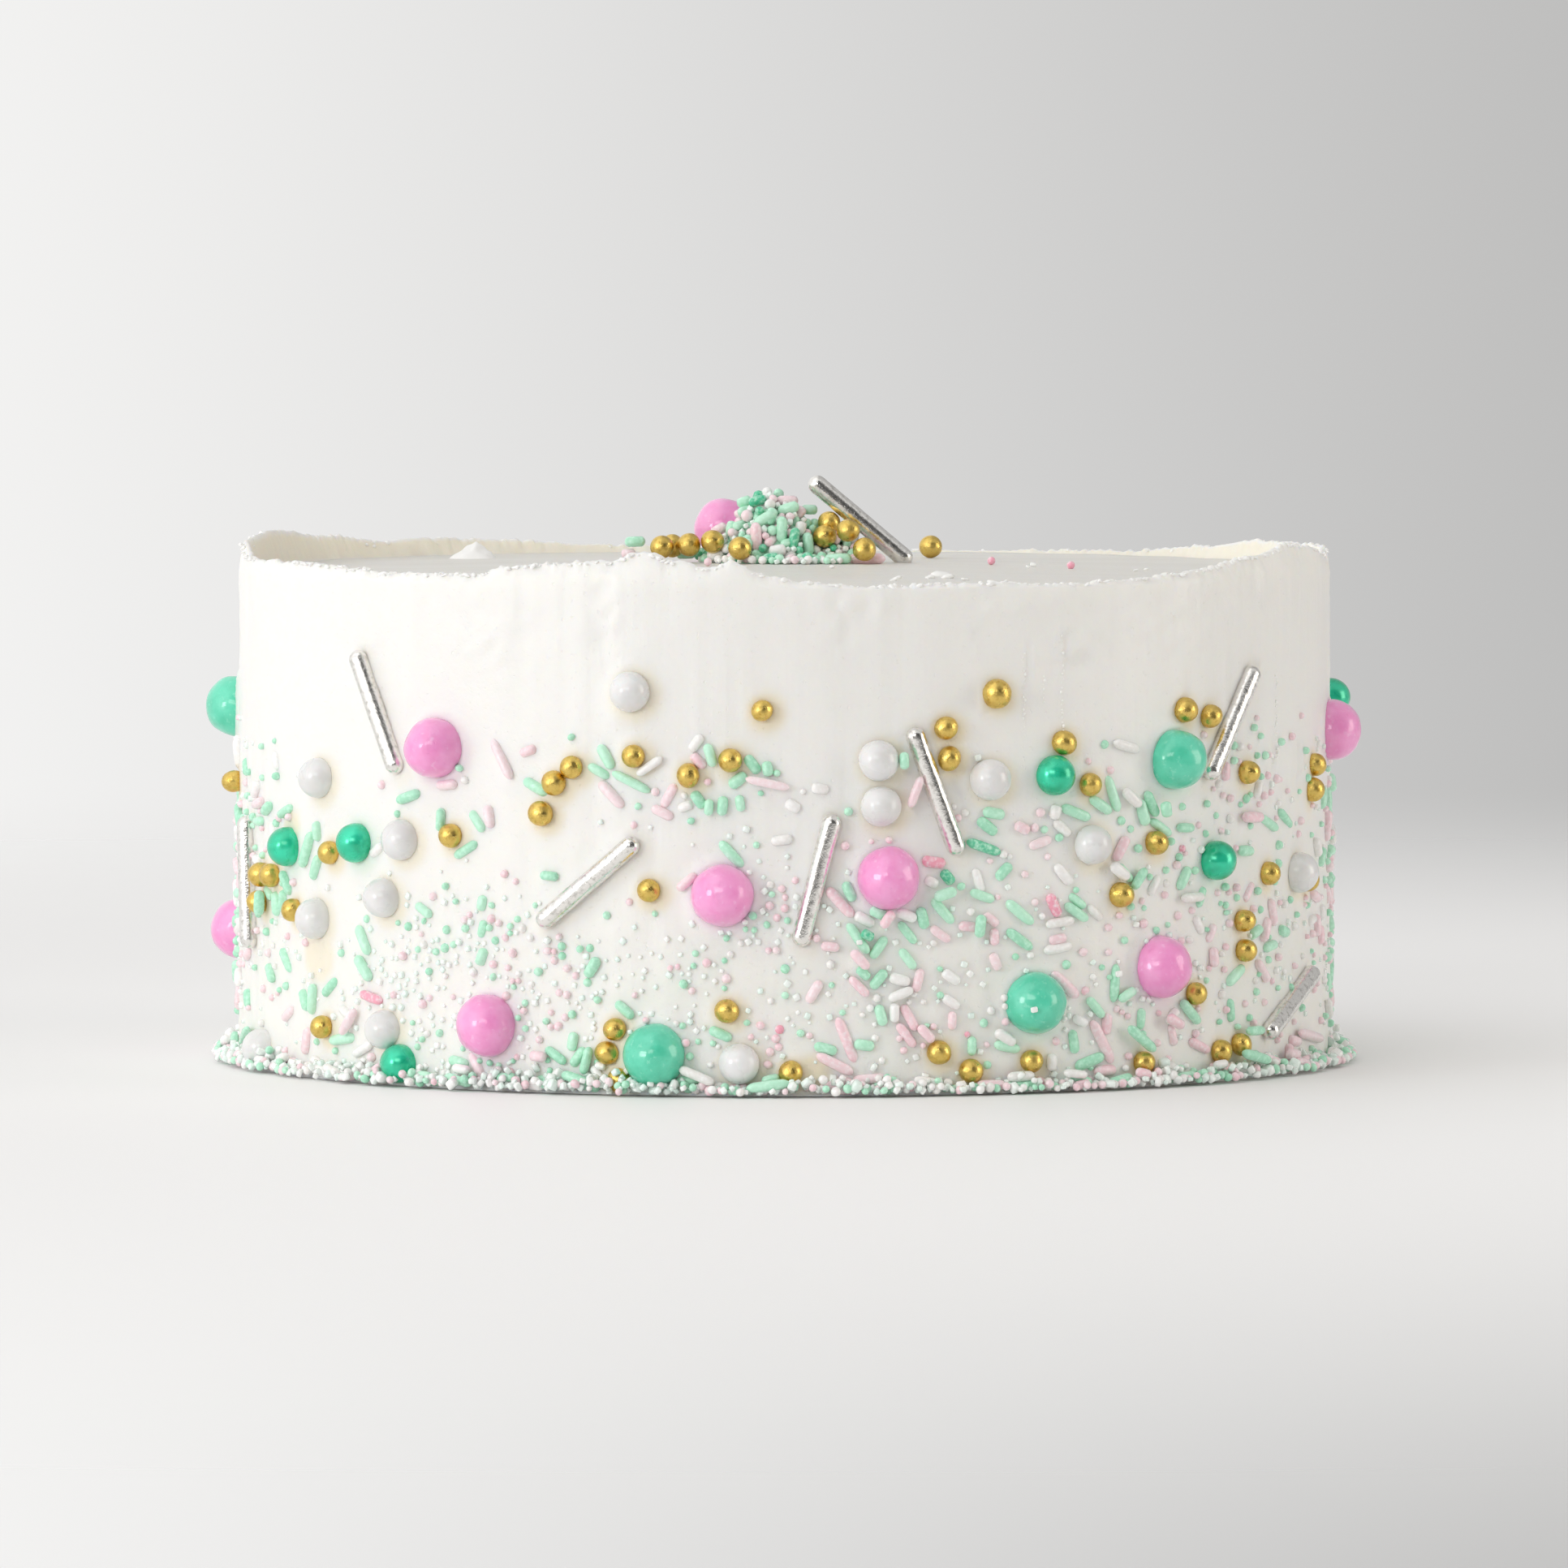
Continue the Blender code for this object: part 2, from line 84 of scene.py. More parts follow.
# Knife marks in the photograph, as (column, row, half height, half width) and (column, row, half
# width, half height, depth in millimetres)
CRESCENTS_SEEN = (
    (1402, 848, 22, 8), (1426, 855, 26, 7), (1385, 760, 22, 8),
    (1180, 760, 30, 10), (1130, 735, 18, 8), (1214, 748, 26, 8),
)
SMEARS_SEEN = (
    (1221, 752, 22, 26, 0.45), (1175, 706, 46, 10, 0.38), (1015, 728, 9, 26, 0.40),
    (690, 725, 40, 60, 0.18), (800, 722, 16, 40, 0.20), (560, 740, 40, 60, 0.12),
    (1395, 690, 50, 40, 0.22), (1290, 720, 60, 40, 0.14), (1122, 668, 90, 10, 0.35),
    (1060, 705, 60, 16, 0.22), (679, 738, 14, 12, 0.25), (1138, 787, 12, 26, 0.30),
)


def outward(azimuth):
    return Vector((math.sin(azimuth), -math.cos(azimuth), 0.0))


def azimuth_of(point):
    return math.atan2(point.x, -point.y)


def spot_at(azimuth, radius, height):
    spot = outward(azimuth) * radius
    spot.z = height
    return spot


def seen_on_wall(column, row, lift=0.0):
    """The (azimuth, height) on the near half of the wall that the photograph shows at a pixel."""
    row -= (column - MIDDLE_COLUMN) * FOOT_LEAN * (row - TOP_ROW) / (FOOT_ROW - TOP_ROW)
    radius = CAKE_RADIUS + lift
    slope = (column - MIDDLE_COLUMN) / FOCAL_PIXELS
    spread = -slope * slope * EYE.y
    inside = spread * spread - (1 + slope * slope) * (-spread * EYE.y - radius * radius)
    nearness = (-spread - math.sqrt(max(inside, 0.0))) / (1 + slope * slope)
    across = slope * (nearness - EYE.y)
    height = EYE.z - (row - HORIZON_ROW) / FOCAL_PIXELS * (nearness - EYE.y)
    return math.atan2(across, -nearness), height


def nodes_named(start):
    return sorted(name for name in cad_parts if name.startswith(start))


def node_middle(name):
    low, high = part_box(name)
    return (Vector(low) + Vector(high)) / 2


def node_ends(name):
    """The two points of a solid rod that lie farthest apart."""
    points = [v.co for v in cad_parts[name].data.vertices]
    return max(combinations(points, 2), key=lambda pair: (pair[0] - pair[1]).length)


def between(table, value):
    """The table's result at a value, eased from each of its points to the next."""
    for (low, low_result), (high, high_result) in zip(table, table[1:]):
        if low <= value <= high:
            share = (value - low) / (high - low)
            share = share * share * (3 - 2 * share)
            return low_result + (high_result - low_result) * share
    return table[-1][1]


def rim_rise(azimuth):
    """The torn crest's height above the top: its broad rise, with small teeth torn into it."""
    degrees = (math.degrees(azimuth) + 180) % 360 - 180
    rise = between(RIM_RISES, degrees) * MILLIMETRE
    place = outward(azimuth) * CAKE_RADIUS
    teeth = noise.noise(place / 0.0042) * TOOTH_DEPTH + noise.noise(place / 0.0011) * CHIP_DEPTH
    torn = noise.noise(place / 0.011 + Vector((7, 3, 1)))
    return max(rise + (teeth * (0.7 + 0.9 * torn) + 0.15) * MILLIMETRE, 0.05 * MILLIMETRE)


def mark_on_wall(column, row, wide, high):
    """A mark's (azimuth, height, half width, half height) on the wall, from its half sizes seen."""
    azimuth, height = seen_on_wall(column, row)
    return azimuth, height, wide * PIXEL / CAKE_RADIUS / max(math.cos(azimuth), 0.3), high * PIXEL


SMEARS = [(*mark_on_wall(*seen), depth * MILLIMETRE) for *seen, depth in SMEARS_SEEN]
CRESCENTS = [mark_on_wall(column, row, wide, high) for column, row, high, wide in CRESCENTS_SEEN]
# Pearls and gold beads pressed into the near half. The far half carries the same ones turned half
# round, but for those nearer the wall's edges than the limit.
WHITE_PEARLS_SEEN = (
    (822, 783), (539, 856), (614, 912), (598, 963), (536, 980), (534, 1010), (599, 1080),
    (487, 1102), (1048, 848), (1050, 890), (1149, 867), (1242, 929), (921, 1121), (1430, 959),
)
GREEN_PEARLS_SEEN = ((511, 916), (573, 914), (1208, 864), (1355, 946), (613, 1113))
# One that shows from just behind the wall's edge, as (azimuth in degrees, height)
GREEN_PEARL_BEHIND_EDGE = (95, 0.0639)
GOLD_BEADS_SEEN = (
    (942, 801), (825, 841), (875, 859), (913, 846), (769, 850), (753, 864), (741, 891),
    (659, 909), (549, 922), (511, 897), (487, 940), (496, 941), (516, 972), (485, 964),
    (542, 1076), (839, 962), (910, 1073), (808, 1086), (801, 1107), (812, 1134), (968, 1131),
    (984, 1129), (1103, 1117), (1132, 1135), (1187, 1128), (1289, 1133), (1359, 1125),
    (1377, 1119), (1336, 1070), (1381, 1031), (1380, 1003), (1402, 959), (1300, 928),
    (1268, 976), (1155, 788), (1109, 819), (1112, 847), (1216, 834), (1326, 805), (1349, 811),
    (1240, 873), (1383, 864), (1444, 858), (1442, 881), (463, 858), (1438, 966),
)
PEARL_RADIUS, PEARL_LIFT = 0.0035, 0.0009
GOLD_RADIUS, GOLD_LIFT = 0.0021, 0.0009
TWIN_LIMIT = math.radians(75)
PRESS_SECTORS = 72
# The icing stands up in a collar round each candy: how far the candy reaches, how high its collar
# is, and the collar's distance from it and width
BALL_REACH, ROD_REACH = 0.0052, 0.0017
BALL_COLLAR, ROD_COLLAR, BEAD_COLLAR = 0.0007, 0.00018, 0.00025
COLLAR_GAP, COLLAR_WIDTH = 0.0004, 0.0011
# Red, green and blue lost beside each candy: to dye and oil, and to painted shadow and bounce
PEARL_DYE_AND_SHADOW, GOLD_DYE_AND_SHADOW, PINK_DYE_AND_BOUNCE = (0.01, 0.07, 0.20), (0.02, 0.10, 0.27), (0.01, 0.12, 0.07)
GREEN_DYE_AND_BOUNCE, LEAF_DYE_AND_SHADOW = (0.12, 0.02, 0.09), (0.02, 0.04, 0.08)
# Low on the side it is oily from the sprinkles, with mint dye in patches, and the rim's inner face
# carries a painted warm shade, for the shade it stands in
OIL_DYE, MINT_HAZE, RIM_PAINTED_SHADE = (0.0, 0.004, 0.02), (0.018, 0.0, 0.012), (0.02, 0.055, 0.15)
OIL_HEIGHTS = (0.018, 0.052)
# Each candy's stain and painted shadow lie to its right and below, and fade over this distance
SHADOW_RIGHT, SHADOW_DOWN, STAIN_AND_SHADOW_FADE = 0.0007, 0.0006, 0.0014


def with_twins(places, limit=math.pi):
    """Places given as (azimuth, ...), and those nearer than the limit turned half round."""
    kept = [place for place in places if abs(place[0]) < limit]
    return list(places) + [(place[0] + math.pi, *place[1:]) for place in kept]


def press_sector(azimuth):
    return int((azimuth % math.tau) / math.tau * PRESS_SECTORS) % PRESS_SECTORS


def pressed_places():
    """Where candies were pushed in, as (azimuth, height, radius, rise round it, dye and painted shade)
    by sector.
    """
    places = []
    for start, dye_and_shade in (("pink_ball", PINK_DYE_AND_BOUNCE), ("mint_ball", GREEN_DYE_AND_BOUNCE)):
        for ball in nodes_named(start):
            middle = node_middle(ball)
            places.append((azimuth_of(middle), middle.z, BALL_REACH, BALL_COLLAR, dye_and_shade))
    for rod in nodes_named("silver_rod"):
        ends = node_ends(rod)
        for share in (0.05, 0.2, 0.35, 0.5, 0.65, 0.8, 0.95):
            middle = ends[0].lerp(ends[1], share)
            place = (azimuth_of(middle), middle.z, ROD_REACH, ROD_COLLAR, LEAF_DYE_AND_SHADOW)
            places.append(place)
    for seen, radius, dye_and_shade in (
        (WHITE_PEARLS_SEEN, PEARL_RADIUS, PEARL_DYE_AND_SHADOW), (GREEN_PEARLS_SEEN, PEARL_RADIUS, GREEN_DYE_AND_BOUNCE),
        (GOLD_BEADS_SEEN, GOLD_RADIUS, GOLD_DYE_AND_SHADOW),
    ):
        beads = [seen_on_wall(*pixel, PEARL_LIFT) for pixel in seen]
        for azimuth, height in with_twins(beads, TWIN_LIMIT):
            places.append((azimuth, height, radius, BEAD_COLLAR, dye_and_shade))
    by_sector = {sector: [] for sector in range(PRESS_SECTORS)}
    for place in places:
        for shift in (-1, 0, 1):
            by_sector[(press_sector(place[0]) + shift) % PRESS_SECTORS].append(place)
    return by_sector


PRESSED = pressed_places()


def turn_between(one, other):
    return (one - other + math.pi) % math.tau - math.pi


def wall_swell(azimuth, height):
    """How far the iced wall stands out from its mean radius at a place, in metres."""
    place = outward(azimuth) * CAKE_RADIUS
    upright = Vector((0, 0, height))
    swell = SWELL_DEPTH * noise.noise(outward(azimuth) * 3.0 + upright * 18)
    swell += BAND_DEPTH * noise.noise(place / 0.0075 + upright / 0.09)
    patch = noise.noise(place / 0.03 + upright / 0.03)
    drag = DRAG_DEPTH + DRAG_PATCH_DEPTH * max(patch, 0.0)
    swell += noise.noise(place / 0.0030 + upright / 0.04) * drag * MILLIMETRE
    swell += (1 - abs(noise.noise(place / 0.012 + upright / 0.010)) * 4) * WRINKLE_DEPTH * MILLIMETRE
    for middle, middle_height, wide, high, depth in SMEARS:
        across = turn_between(azimuth, middle) / wide
        up = (height - middle_height) / high
        if across * across + up * up < 6:
            fade = math.exp(-across * across - up * up)
            crumple = noise.noise(Vector((place.x, place.y, height * 1.6)) / 0.0026)
            ridge = 1 - abs(noise.noise(Vector((place.x, place.y, height)) / 0.0055)) * 3
            swell += depth * fade * (crumple * 1.5 + ridge * 1.1)
    for middle, middle_height, wide, high in CRESCENTS:
        up = (height - middle_height) / high
        if abs(up) < 1:
            across = turn_between(azimuth, middle) / wide - (1 - up * up) * 0.6
            if 0 < across < 4:
                swell += CRESCENT_LIP * (1 - up * up) * math.exp(-across * 1.6)
            elif -0.7 < across <= 0:
                swell -= CRESCENT_GROOVE * (1 - up * up) * (1 + across / 0.7)
    for middle, middle_height, reach, rise, _ in PRESSED[press_sector(azimuth)]:
        apart = math.hypot(turn_between(azimuth, middle) * CAKE_RADIUS, height - middle_height)
        swell += rise * math.exp(-(((apart - reach - COLLAR_GAP) / COLLAR_WIDTH) ** 2))
    return swell


def dye_and_shade_at(azimuth, height):
    """Colour the icing loses at a place: dye and oil, and painted shade on the side away from the
    window.
    """
    share = (OIL_HEIGHTS[1] - height) / (OIL_HEIGHTS[1] - OIL_HEIGHTS[0])
    share = min(max(share, 0.0), 1.0)
    place = outward(azimuth) * CAKE_RADIUS + Vector((0, 0, height))
    patch = max(noise.noise(place / 0.013) * 1.6 + 0.1, 0.0)
    lost = np.array(OIL_DYE) * share + np.array(MINT_HAZE) * share * patch
    # Beside each candy: some dye, and a painted shadow and bounce offset away from the window
    for middle, middle_height, reach, _, dye_and_shade in PRESSED[press_sector(azimuth)]:
        across = turn_between(azimuth, middle) * CAKE_RADIUS - SHADOW_RIGHT
        apart = math.hypot(across, height - middle_height + SHADOW_DOWN)
        share = math.exp(-((max(apart - reach, 0.0) / STAIN_AND_SHADOW_FADE) ** 2))
        lost = np.maximum(lost, share * np.array(dye_and_shade))
    return lost


def coat_profile():
    """(radius, height) from the foot's middle, out, up the wall, over the rim and in again. Above
    the top, the rim is drawn 1 m tall, and is brought down to its own rise afterwards."""
    foot = [(0.0, 0.0), (CAKE_RADIUS - FOOT_INSET, 0.0), (CAKE_RADIUS + FOOT_LIP, 0.0)]
    wall = [(CAKE_RADIUS, TOP_HEIGHT * 0.985 * (row + 1) / WALL_ROWS) for row in range(WALL_ROWS)]
    shares = [step / 6 for step in range(7)]
    outside = [(CAKE_RADIUS - CREST_SETBACK * share**2, TOP_HEIGHT + share) for share in shares]
    crest = CAKE_RADIUS - CREST_SETBACK - CREST_THICKNESS
    slope = RIM_THICKNESS - CREST_SETBACK - CREST_THICKNESS
    inside = [(crest - slope * share, TOP_HEIGHT + 1 - share) for share in shares]
    over = [(crest + CREST_THICKNESS * 0.5, TOP_HEIGHT + 1.04)]
    below = TOP_HEIGHT - COAT_LAP
    under = [(CAKE_RADIUS - RIM_THICKNESS - COAT_LAP, below), (0.0, below)]
    return foot + wall + outside + over + inside + under


def coat_vertex(point):
    radius, height = math.hypot(point.x, point.y), point.z
    azimuth = azimuth_of(point)
    if radius < CAKE_RADIUS - RIM_THICKNESS - 0.001:
        return point
    share = max(height - TOP_HEIGHT, 0.0)
    rise = rim_rise(azimuth)
    if share > 0:
        height = TOP_HEIGHT + share * rise
    place = outward(azimuth) * CAKE_RADIUS
    if height > 0.0001:
        outer = radius > CAKE_RADIUS - CREST_SETBACK - CREST_THICKNESS * 0.6
        radius += wall_swell(azimuth, height) * (1.0 if outer else 0.5)
        lean = noise.noise(place / 0.016 + Vector((2, 5, 9))) * RIM_LEAN
        curl = noise.noise(place / 0.0035 + Vector((0, 0, height / 0.0012))) * RIM_CURL
        crumb = noise.noise(Vector((place.x, place.y, height)) / 0.0010) * RIM_ROUGHNESS
        stands = min(rise / 0.0015, 1.0)
        radius += ((lean + curl) * stands + crumb) * min(share, 1.0) * MILLIMETRE
        if not outer:
            scored = noise.noise(Vector((place.x, place.y, height)) / 0.0022)
            wrinkle = noise.noise(place / 0.0035 + Vector((0, 0, height / 0.012)))
            relief = (scored * RIM_SCORING + wrinkle * RIM_WRINKLE) * MILLIMETRE
            radius += relief * (1.3 - min(share, 1.0))
    return spot_at(azimuth, radius, height)


def coat_shape():
    """The profile is spun through one sector, the sectors are joined, and the rim is cut finer."""
    shape = bmesh.new()
    profile = [shape.verts.new((0, -radius, height)) for radius, height in coat_profile()]
    edges = [shape.edges.new(pair) for pair in zip(profile, profile[1:])]
    angle = math.tau / COAT_SECTORS
    bmesh.ops.spin(
        shape, geom=profile + edges, cent=(0, 0, 0), axis=(0, 0, 1),
        angle=angle, steps=SECTOR_STEPS, use_duplicate=False,
    )
    sector = shape.verts[:] + shape.edges[:] + shape.faces[:]
    for index in range(1, COAT_SECTORS):
        made = bmesh.ops.duplicate(shape, geom=sector)["geom"]
        turned = [part for part in made if isinstance(part, bmesh.types.BMVert)]
        turn = Matrix.Rotation(angle * index, 3, "Z")
        bmesh.ops.rotate(shape, matrix=turn, verts=turned)
    bmesh.ops.remove_doubles(shape, verts=shape.verts, dist=WELD_DISTANCE)
    fine = [
        edge for edge in shape.edges
        if abs(edge.verts[0].co.z - edge.verts[1].co.z) < WELD_DISTANCE
        and edge.verts[0].co.z > FINE_FROM
        and min(v.co.xy.length for v in edge.verts) > CAKE_RADIUS - RIM_THICKNESS - 0.001
    ]
    bmesh.ops.subdivide_edges(shape, edges=fine, cuts=1, use_grid_fill=True)
    dye_and_shade = shape.verts.layers.float_color.new("dye_and_shade")
    for vertex in shape.verts:
        lost = (0.0, 0.0, 0.0)
        if 0 < vertex.co.z < TOP_HEIGHT and vertex.co.xy.length > 1e-5:
            lost = dye_and_shade_at(azimuth_of(vertex.co), vertex.co.z)
        # The rim's inner face gets a painted warm shade
        elif vertex.co.xy.length < CAKE_RADIUS - CREST_SETBACK - CREST_THICKNESS * 1.1:
            lost = RIM_PAINTED_SHADE
        vertex[dye_and_shade] = (*lost, 1.0)
        if vertex.co.xy.length > 1e-5:
            vertex.co = coat_vertex(vertex.co)
    bmesh.ops.recalc_face_normals(shape, faces=shape.faces)
    return shape


def new_material(name, **values):
    """A material and its nodes, with the Principled shader's plain values set on its sockets."""
    made = bpy.data.materials.new(name)
    made.use_nodes = True
    shader = made.node_tree.nodes["Principled BSDF"]
    for socket, value in values.items():
        socket = socket.replace("_", " ").title().replace("Ior", "IOR")
        shader.inputs[socket].default_value = value
    return made, made.node_tree.nodes, made.node_tree.links, shader


def speckle_group():
    """Soft procedural mottling on the object's own coordinates, with a stretch for each axis."""
    group = bpy.data.node_groups.new("speckle", "ShaderNodeTree")
    for label, kind, value in (
        ("Size", "NodeSocketFloat", 100.0), ("Detail", "NodeSocketFloat", 3.0),
        ("Stretch", "NodeSocketVector", (1, 1, 1)),
        ("Low", "NodeSocketFloat", 0.35), ("High", "NodeSocketFloat", 0.65),
    ):
        group.interface.new_socket(label, in_out="INPUT", socket_type=kind).default_value = value
    group.interface.new_socket("Mask", in_out="OUTPUT", socket_type="NodeSocketFloat")
    given, result = group.nodes.new("NodeGroupInput"), group.nodes.new("NodeGroupOutput")
    place = group.nodes.new("ShaderNodeTexCoord")
    scale = group.nodes.new("ShaderNodeVectorMath")
    scale.operation = "MULTIPLY"
    cloud = group.nodes.new("ShaderNodeTexNoise")
    spread = group.nodes.new("ShaderNodeMapRange")
    links = group.links
    links.new(place.outputs["Object"], scale.inputs[0])
    links.new(given.outputs["Stretch"], scale.inputs[1])
    links.new(scale.outputs["Vector"], cloud.inputs["Vector"])
    links.new(given.outputs["Size"], cloud.inputs["Scale"])
    links.new(given.outputs["Detail"], cloud.inputs["Detail"])
    links.new(cloud.outputs["Fac"], spread.inputs["Value"])
    links.new(given.outputs["Low"], spread.inputs["From Min"])
    links.new(given.outputs["High"], spread.inputs["From Max"])
    links.new(spread.outputs["Result"], result.inputs["Mask"])
    return group


SPECKLE = speckle_group()


def speckle(nodes, size, detail=3.0, stretch=(1, 1, 1), low=0.35, high=0.65):
    node = nodes.new("ShaderNodeGroup")
    node.node_tree = SPECKLE
    values = {"Size": size, "Detail": detail, "Stretch": stretch, "Low": low, "High": high}
    for label, value in values.items():
        node.inputs[label].default_value = value
    return node.outputs["Mask"]


def blend_colours(nodes, links, mask, first, second):
    mix = nodes.new("ShaderNodeMix")
    mix.data_type = "RGBA"
    sockets = {socket.identifier: socket for socket in mix.inputs}
    links.new(mask, sockets["Factor_Float"])
    for socket, colour in ((sockets["A_Color"], first), (sockets["B_Color"], second)):
        if isinstance(colour, tuple):
            socket.default_value = (*colour, 1.0)
        else:
            links.new(colour, socket)
    return next(socket for socket in mix.outputs if socket.identifier == "Result_Color")


def blend_values(nodes, links, mask, first, second):
    spread = nodes.new("ShaderNodeMapRange")
    links.new(mask, spread.inputs["Value"])
    spread.inputs["To Min"].default_value = first
    spread.inputs["To Max"].default_value = second
    return spread.outputs["Result"]


def add_bump(nodes, links, shader, layers):
    """Chains one Bump node per (mask, distance in metres), and feeds the shader's normal."""
    previous = None
    for mask, distance in layers:
        bump = nodes.new("ShaderNodeBump")
        bump.inputs["Distance"].default_value = distance
        links.new(mask, bump.inputs["Height"])
        if previous:
            links.new(previous, bump.inputs["Normal"])
        previous = bump.outputs["Normal"]
    links.new(previous, shader.inputs["Normal"])


def icing_material(name, stretch, tint, translucence=0.35, gloss=0.42):
    """Buttercream: near white, soft, a little translucent and greasy, with fine air bubbles."""
    made, nodes, links, shader = new_material(
        name, subsurface_weight=translucence, subsurface_scale=0.0035, specular_ior_level=gloss,
    )
    shader.inputs["Subsurface Radius"].default_value = (1.0, 0.72, 0.42)
    clouds = speckle(nodes, 22.0, 4.0, (1, 1, 1), 0.3, 0.7)
    colour = blend_colours(nodes, links, clouds, tint, tuple(c * 0.985 for c in tint))
    # Darkened by the dye attribute: dye and oil, and painted shade beside candies and inside the rim
    dye_and_shade = nodes.new("ShaderNodeAttribute")
    dye_and_shade.attribute_name = "dye_and_shade"
    left, product = nodes.new("ShaderNodeVectorMath"), nodes.new("ShaderNodeVectorMath")
    left.operation, product.operation = "SUBTRACT", "MULTIPLY"
    left.inputs[0].default_value = (1.0, 1.0, 1.0)
    links.new(dye_and_shade.outputs["Color"], left.inputs[1])
    links.new(colour, product.inputs[0])
    links.new(left.outputs["Vector"], product.inputs[1])
    links.new(product.outputs["Vector"], shader.inputs["Base Color"])
    sheen = blend_values(nodes, links, speckle(nodes, 60.0, 3.0, stretch), 0.34, 0.50)
    links.new(sheen, shader.inputs["Roughness"])
    drags = speckle(nodes, 260.0, 2.0, stretch, 0.25, 0.75)
    fine = speckle(nodes, 900.0, 3.0, (1, 1, 1), 0.3, 0.7)
    bubbles = speckle(nodes, 1300.0, 1.0, (1, 1, 1), 0.22, 0.32)
    add_bump(nodes, links, shader, [(drags, 0.00012), (fine, 0.00003), (bubbles, 0.00005)])
    return made


def new_piece(name, shape, material, replaced):
    """Puts a finished mesh in the scene, in the place of the solids that it dresses."""
    mesh = shape
    if isinstance(shape, bmesh.types.BMesh):
        mesh = bpy.data.meshes.new(name)
        shape.to_mesh(mesh)
        shape.free()
    mesh.materials.append(material)
    mesh.shade_smooth()
    piece = bpy.data.objects.new(name, mesh)
    bpy.context.scene.collection.objects.link(piece)
    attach(piece, "root")
    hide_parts(*replaced)
    return piece


ICING_TINT = (0.890, 0.878, 0.852)
SIDE_ICING = icing_material("side_icing", (1, 1, 0.06), ICING_TINT)
new_piece("iced_coat", coat_shape(), SIDE_ICING, ["iced_cake"])


# The top coat. The flat top is spread with an offset knife held level, so it is smoother than the
# side, with long shallow sweeps. It runs under the rim's inner foot.
TOP_SWEEP, TOP_DAPPLE, TOP_DOME, EDGE_LIFT = 0.00014, 0.00007, 0.0012, 0.0004
TOP_RINGS, TOP_SECTORS = 60, 200


def top_level(x, y):
    """The top's height: it rises a millimetre towards its middle."""
    share = min(math.hypot(x, y) / (CAKE_RADIUS - RIM_THICKNESS), 1.0)
    return TOP_HEIGHT + TOP_DOME * (1 - share * share) ** 2


def top_vertex(point):
    radius = math.hypot(point.x, point.y)
    sweep = noise.noise(Vector((point.x / 0.05, point.y / 0.007, 4.0)))
    dapple = noise.noise(point / 0.009)
    edge = max(0.0, radius / (CAKE_RADIUS - RIM_THICKNESS) - 0.93) / 0.07
    beyond = max(0.0, radius - (CAKE_RADIUS - RIM_THICKNESS) + 0.0004)
    height = top_level(point.x, point.y) + sweep * TOP_SWEEP + dapple * TOP_DAPPLE
    height += min(edge, 1.0) ** 2 * EDGE_LIFT - beyond * 0.9
    return Vector((point.x, point.y, height))


def top_shape():
    shape = bmesh.new()
    reach = CAKE_RADIUS - RIM_THICKNESS + COAT_LAP
    profile = [
        shape.verts.new((0, -reach * step / TOP_RINGS, TOP_HEIGHT)) for step in range(TOP_RINGS + 1)
    ]
    edges = [shape.edges.new(pair) for pair in zip(profile, profile[1:])]
    bmesh.ops.spin(
        shape, geom=profile + edges, cent=(0, 0, 0), axis=(0, 0, 1),
        angle=math.tau, steps=TOP_SECTORS, use_merge=True, use_duplicate=False,
    )
    bmesh.ops.remove_doubles(shape, verts=shape.verts, dist=WELD_DISTANCE)
    for vertex in shape.verts:
        vertex.co = top_vertex(vertex.co)
    bmesh.ops.recalc_face_normals(shape, faces=shape.faces)
    return shape


# The top's tint is the side's buttercream painted darker and warmer: a painted shade
SHADED_TOP_ICING = icing_material("top_icing_painted_shade", (0.10, 1, 1), (0.735, 0.720, 0.680), 0.35, 0.08)
new_piece("top_coat", top_shape(), SHADED_TOP_ICING, ["iced_cake"])


# Crumbs of icing. Flakes torn from the rim lie along it, a few lie on the top, beaded drag lines
# run down the right of the side, and one soft peak stands at the back left, where the knife was
# lifted. They are lumps of the same buttercream.
PEAK_SEEN = (680, 663)
CRUMBS_SEEN = (
    (1062, 683, 1.1), (1104, 679, 2.3), (1111, 681, 1.5), (1126, 683, 1.0), (1094, 681, 1.2),
    (1153, 687, 1.6), (1149, 690, 1.2), (1281, 675, 0.8), (1290, 674, 0.6), (1006, 672, 0.6),
    (1066, 681, 0.8), (1208, 688, 0.7), (1257, 685, 0.9),
)
# Each line as (column, first row, last row)
DRAG_LINES_SEEN = ((1179, 751, 828), (1214, 735, 826), (1407, 774, 851), (1197, 772, 800))
DRAG_BEAD_STEP, DRAG_BEAD_SIZES, DRAG_BEAD_LIFT = 4, (0.12, 0.26), 0.00002
FLAKE_COUNT, FLAKE_SIZE, FLAKE_INSETS = 900, 0.75, (0.1, 2.1)
# The soft peak before it is bent, as (radius, height) from its base up
PEAK_PROFILE = (
    (0.0050, -0.0004), (0.0038, 0.0006), (0.0024, 0.0014), (0.0012, 0.0024), (0.0, 0.0034),
)
PEAK_SEED, PEAK_RUFFLE = 5, 0.00035


def seen_on_top(column, row):
    """The point of the flat top that the photograph shows at a pixel."""
    point = Vector((0.0, 0.0, TOP_HEIGHT))
    for _ in range(4):
        depth = (EYE.z - point.z) * FOCAL_PIXELS / (row - HORIZON_ROW)
        x, y = (column - MIDDLE_COLUMN) / FOCAL_PIXELS * depth, depth + EYE.y
        point = Vector((x, y, top_level(x, y)))
    return point


def placement(middle, direction, size, twist=0.0):
    """A matrix that takes a template's Z to a direction and scales it by (x, y, z) sizes."""
    turn = Vector((0, 0, 1)).rotation_difference(direction).to_matrix().to_4x4()
    spin = Matrix.Rotation(twist, 4, "Z")
    return Matrix.Translation(middle) @ turn @ spin @ Matrix.Diagonal((*size, 1.0))


def ball_template(subdivisions=3):
    shape = bmesh.new()
    bmesh.ops.create_icosphere(shape, subdivisions=subdivisions, radius=1.0)
    return shape


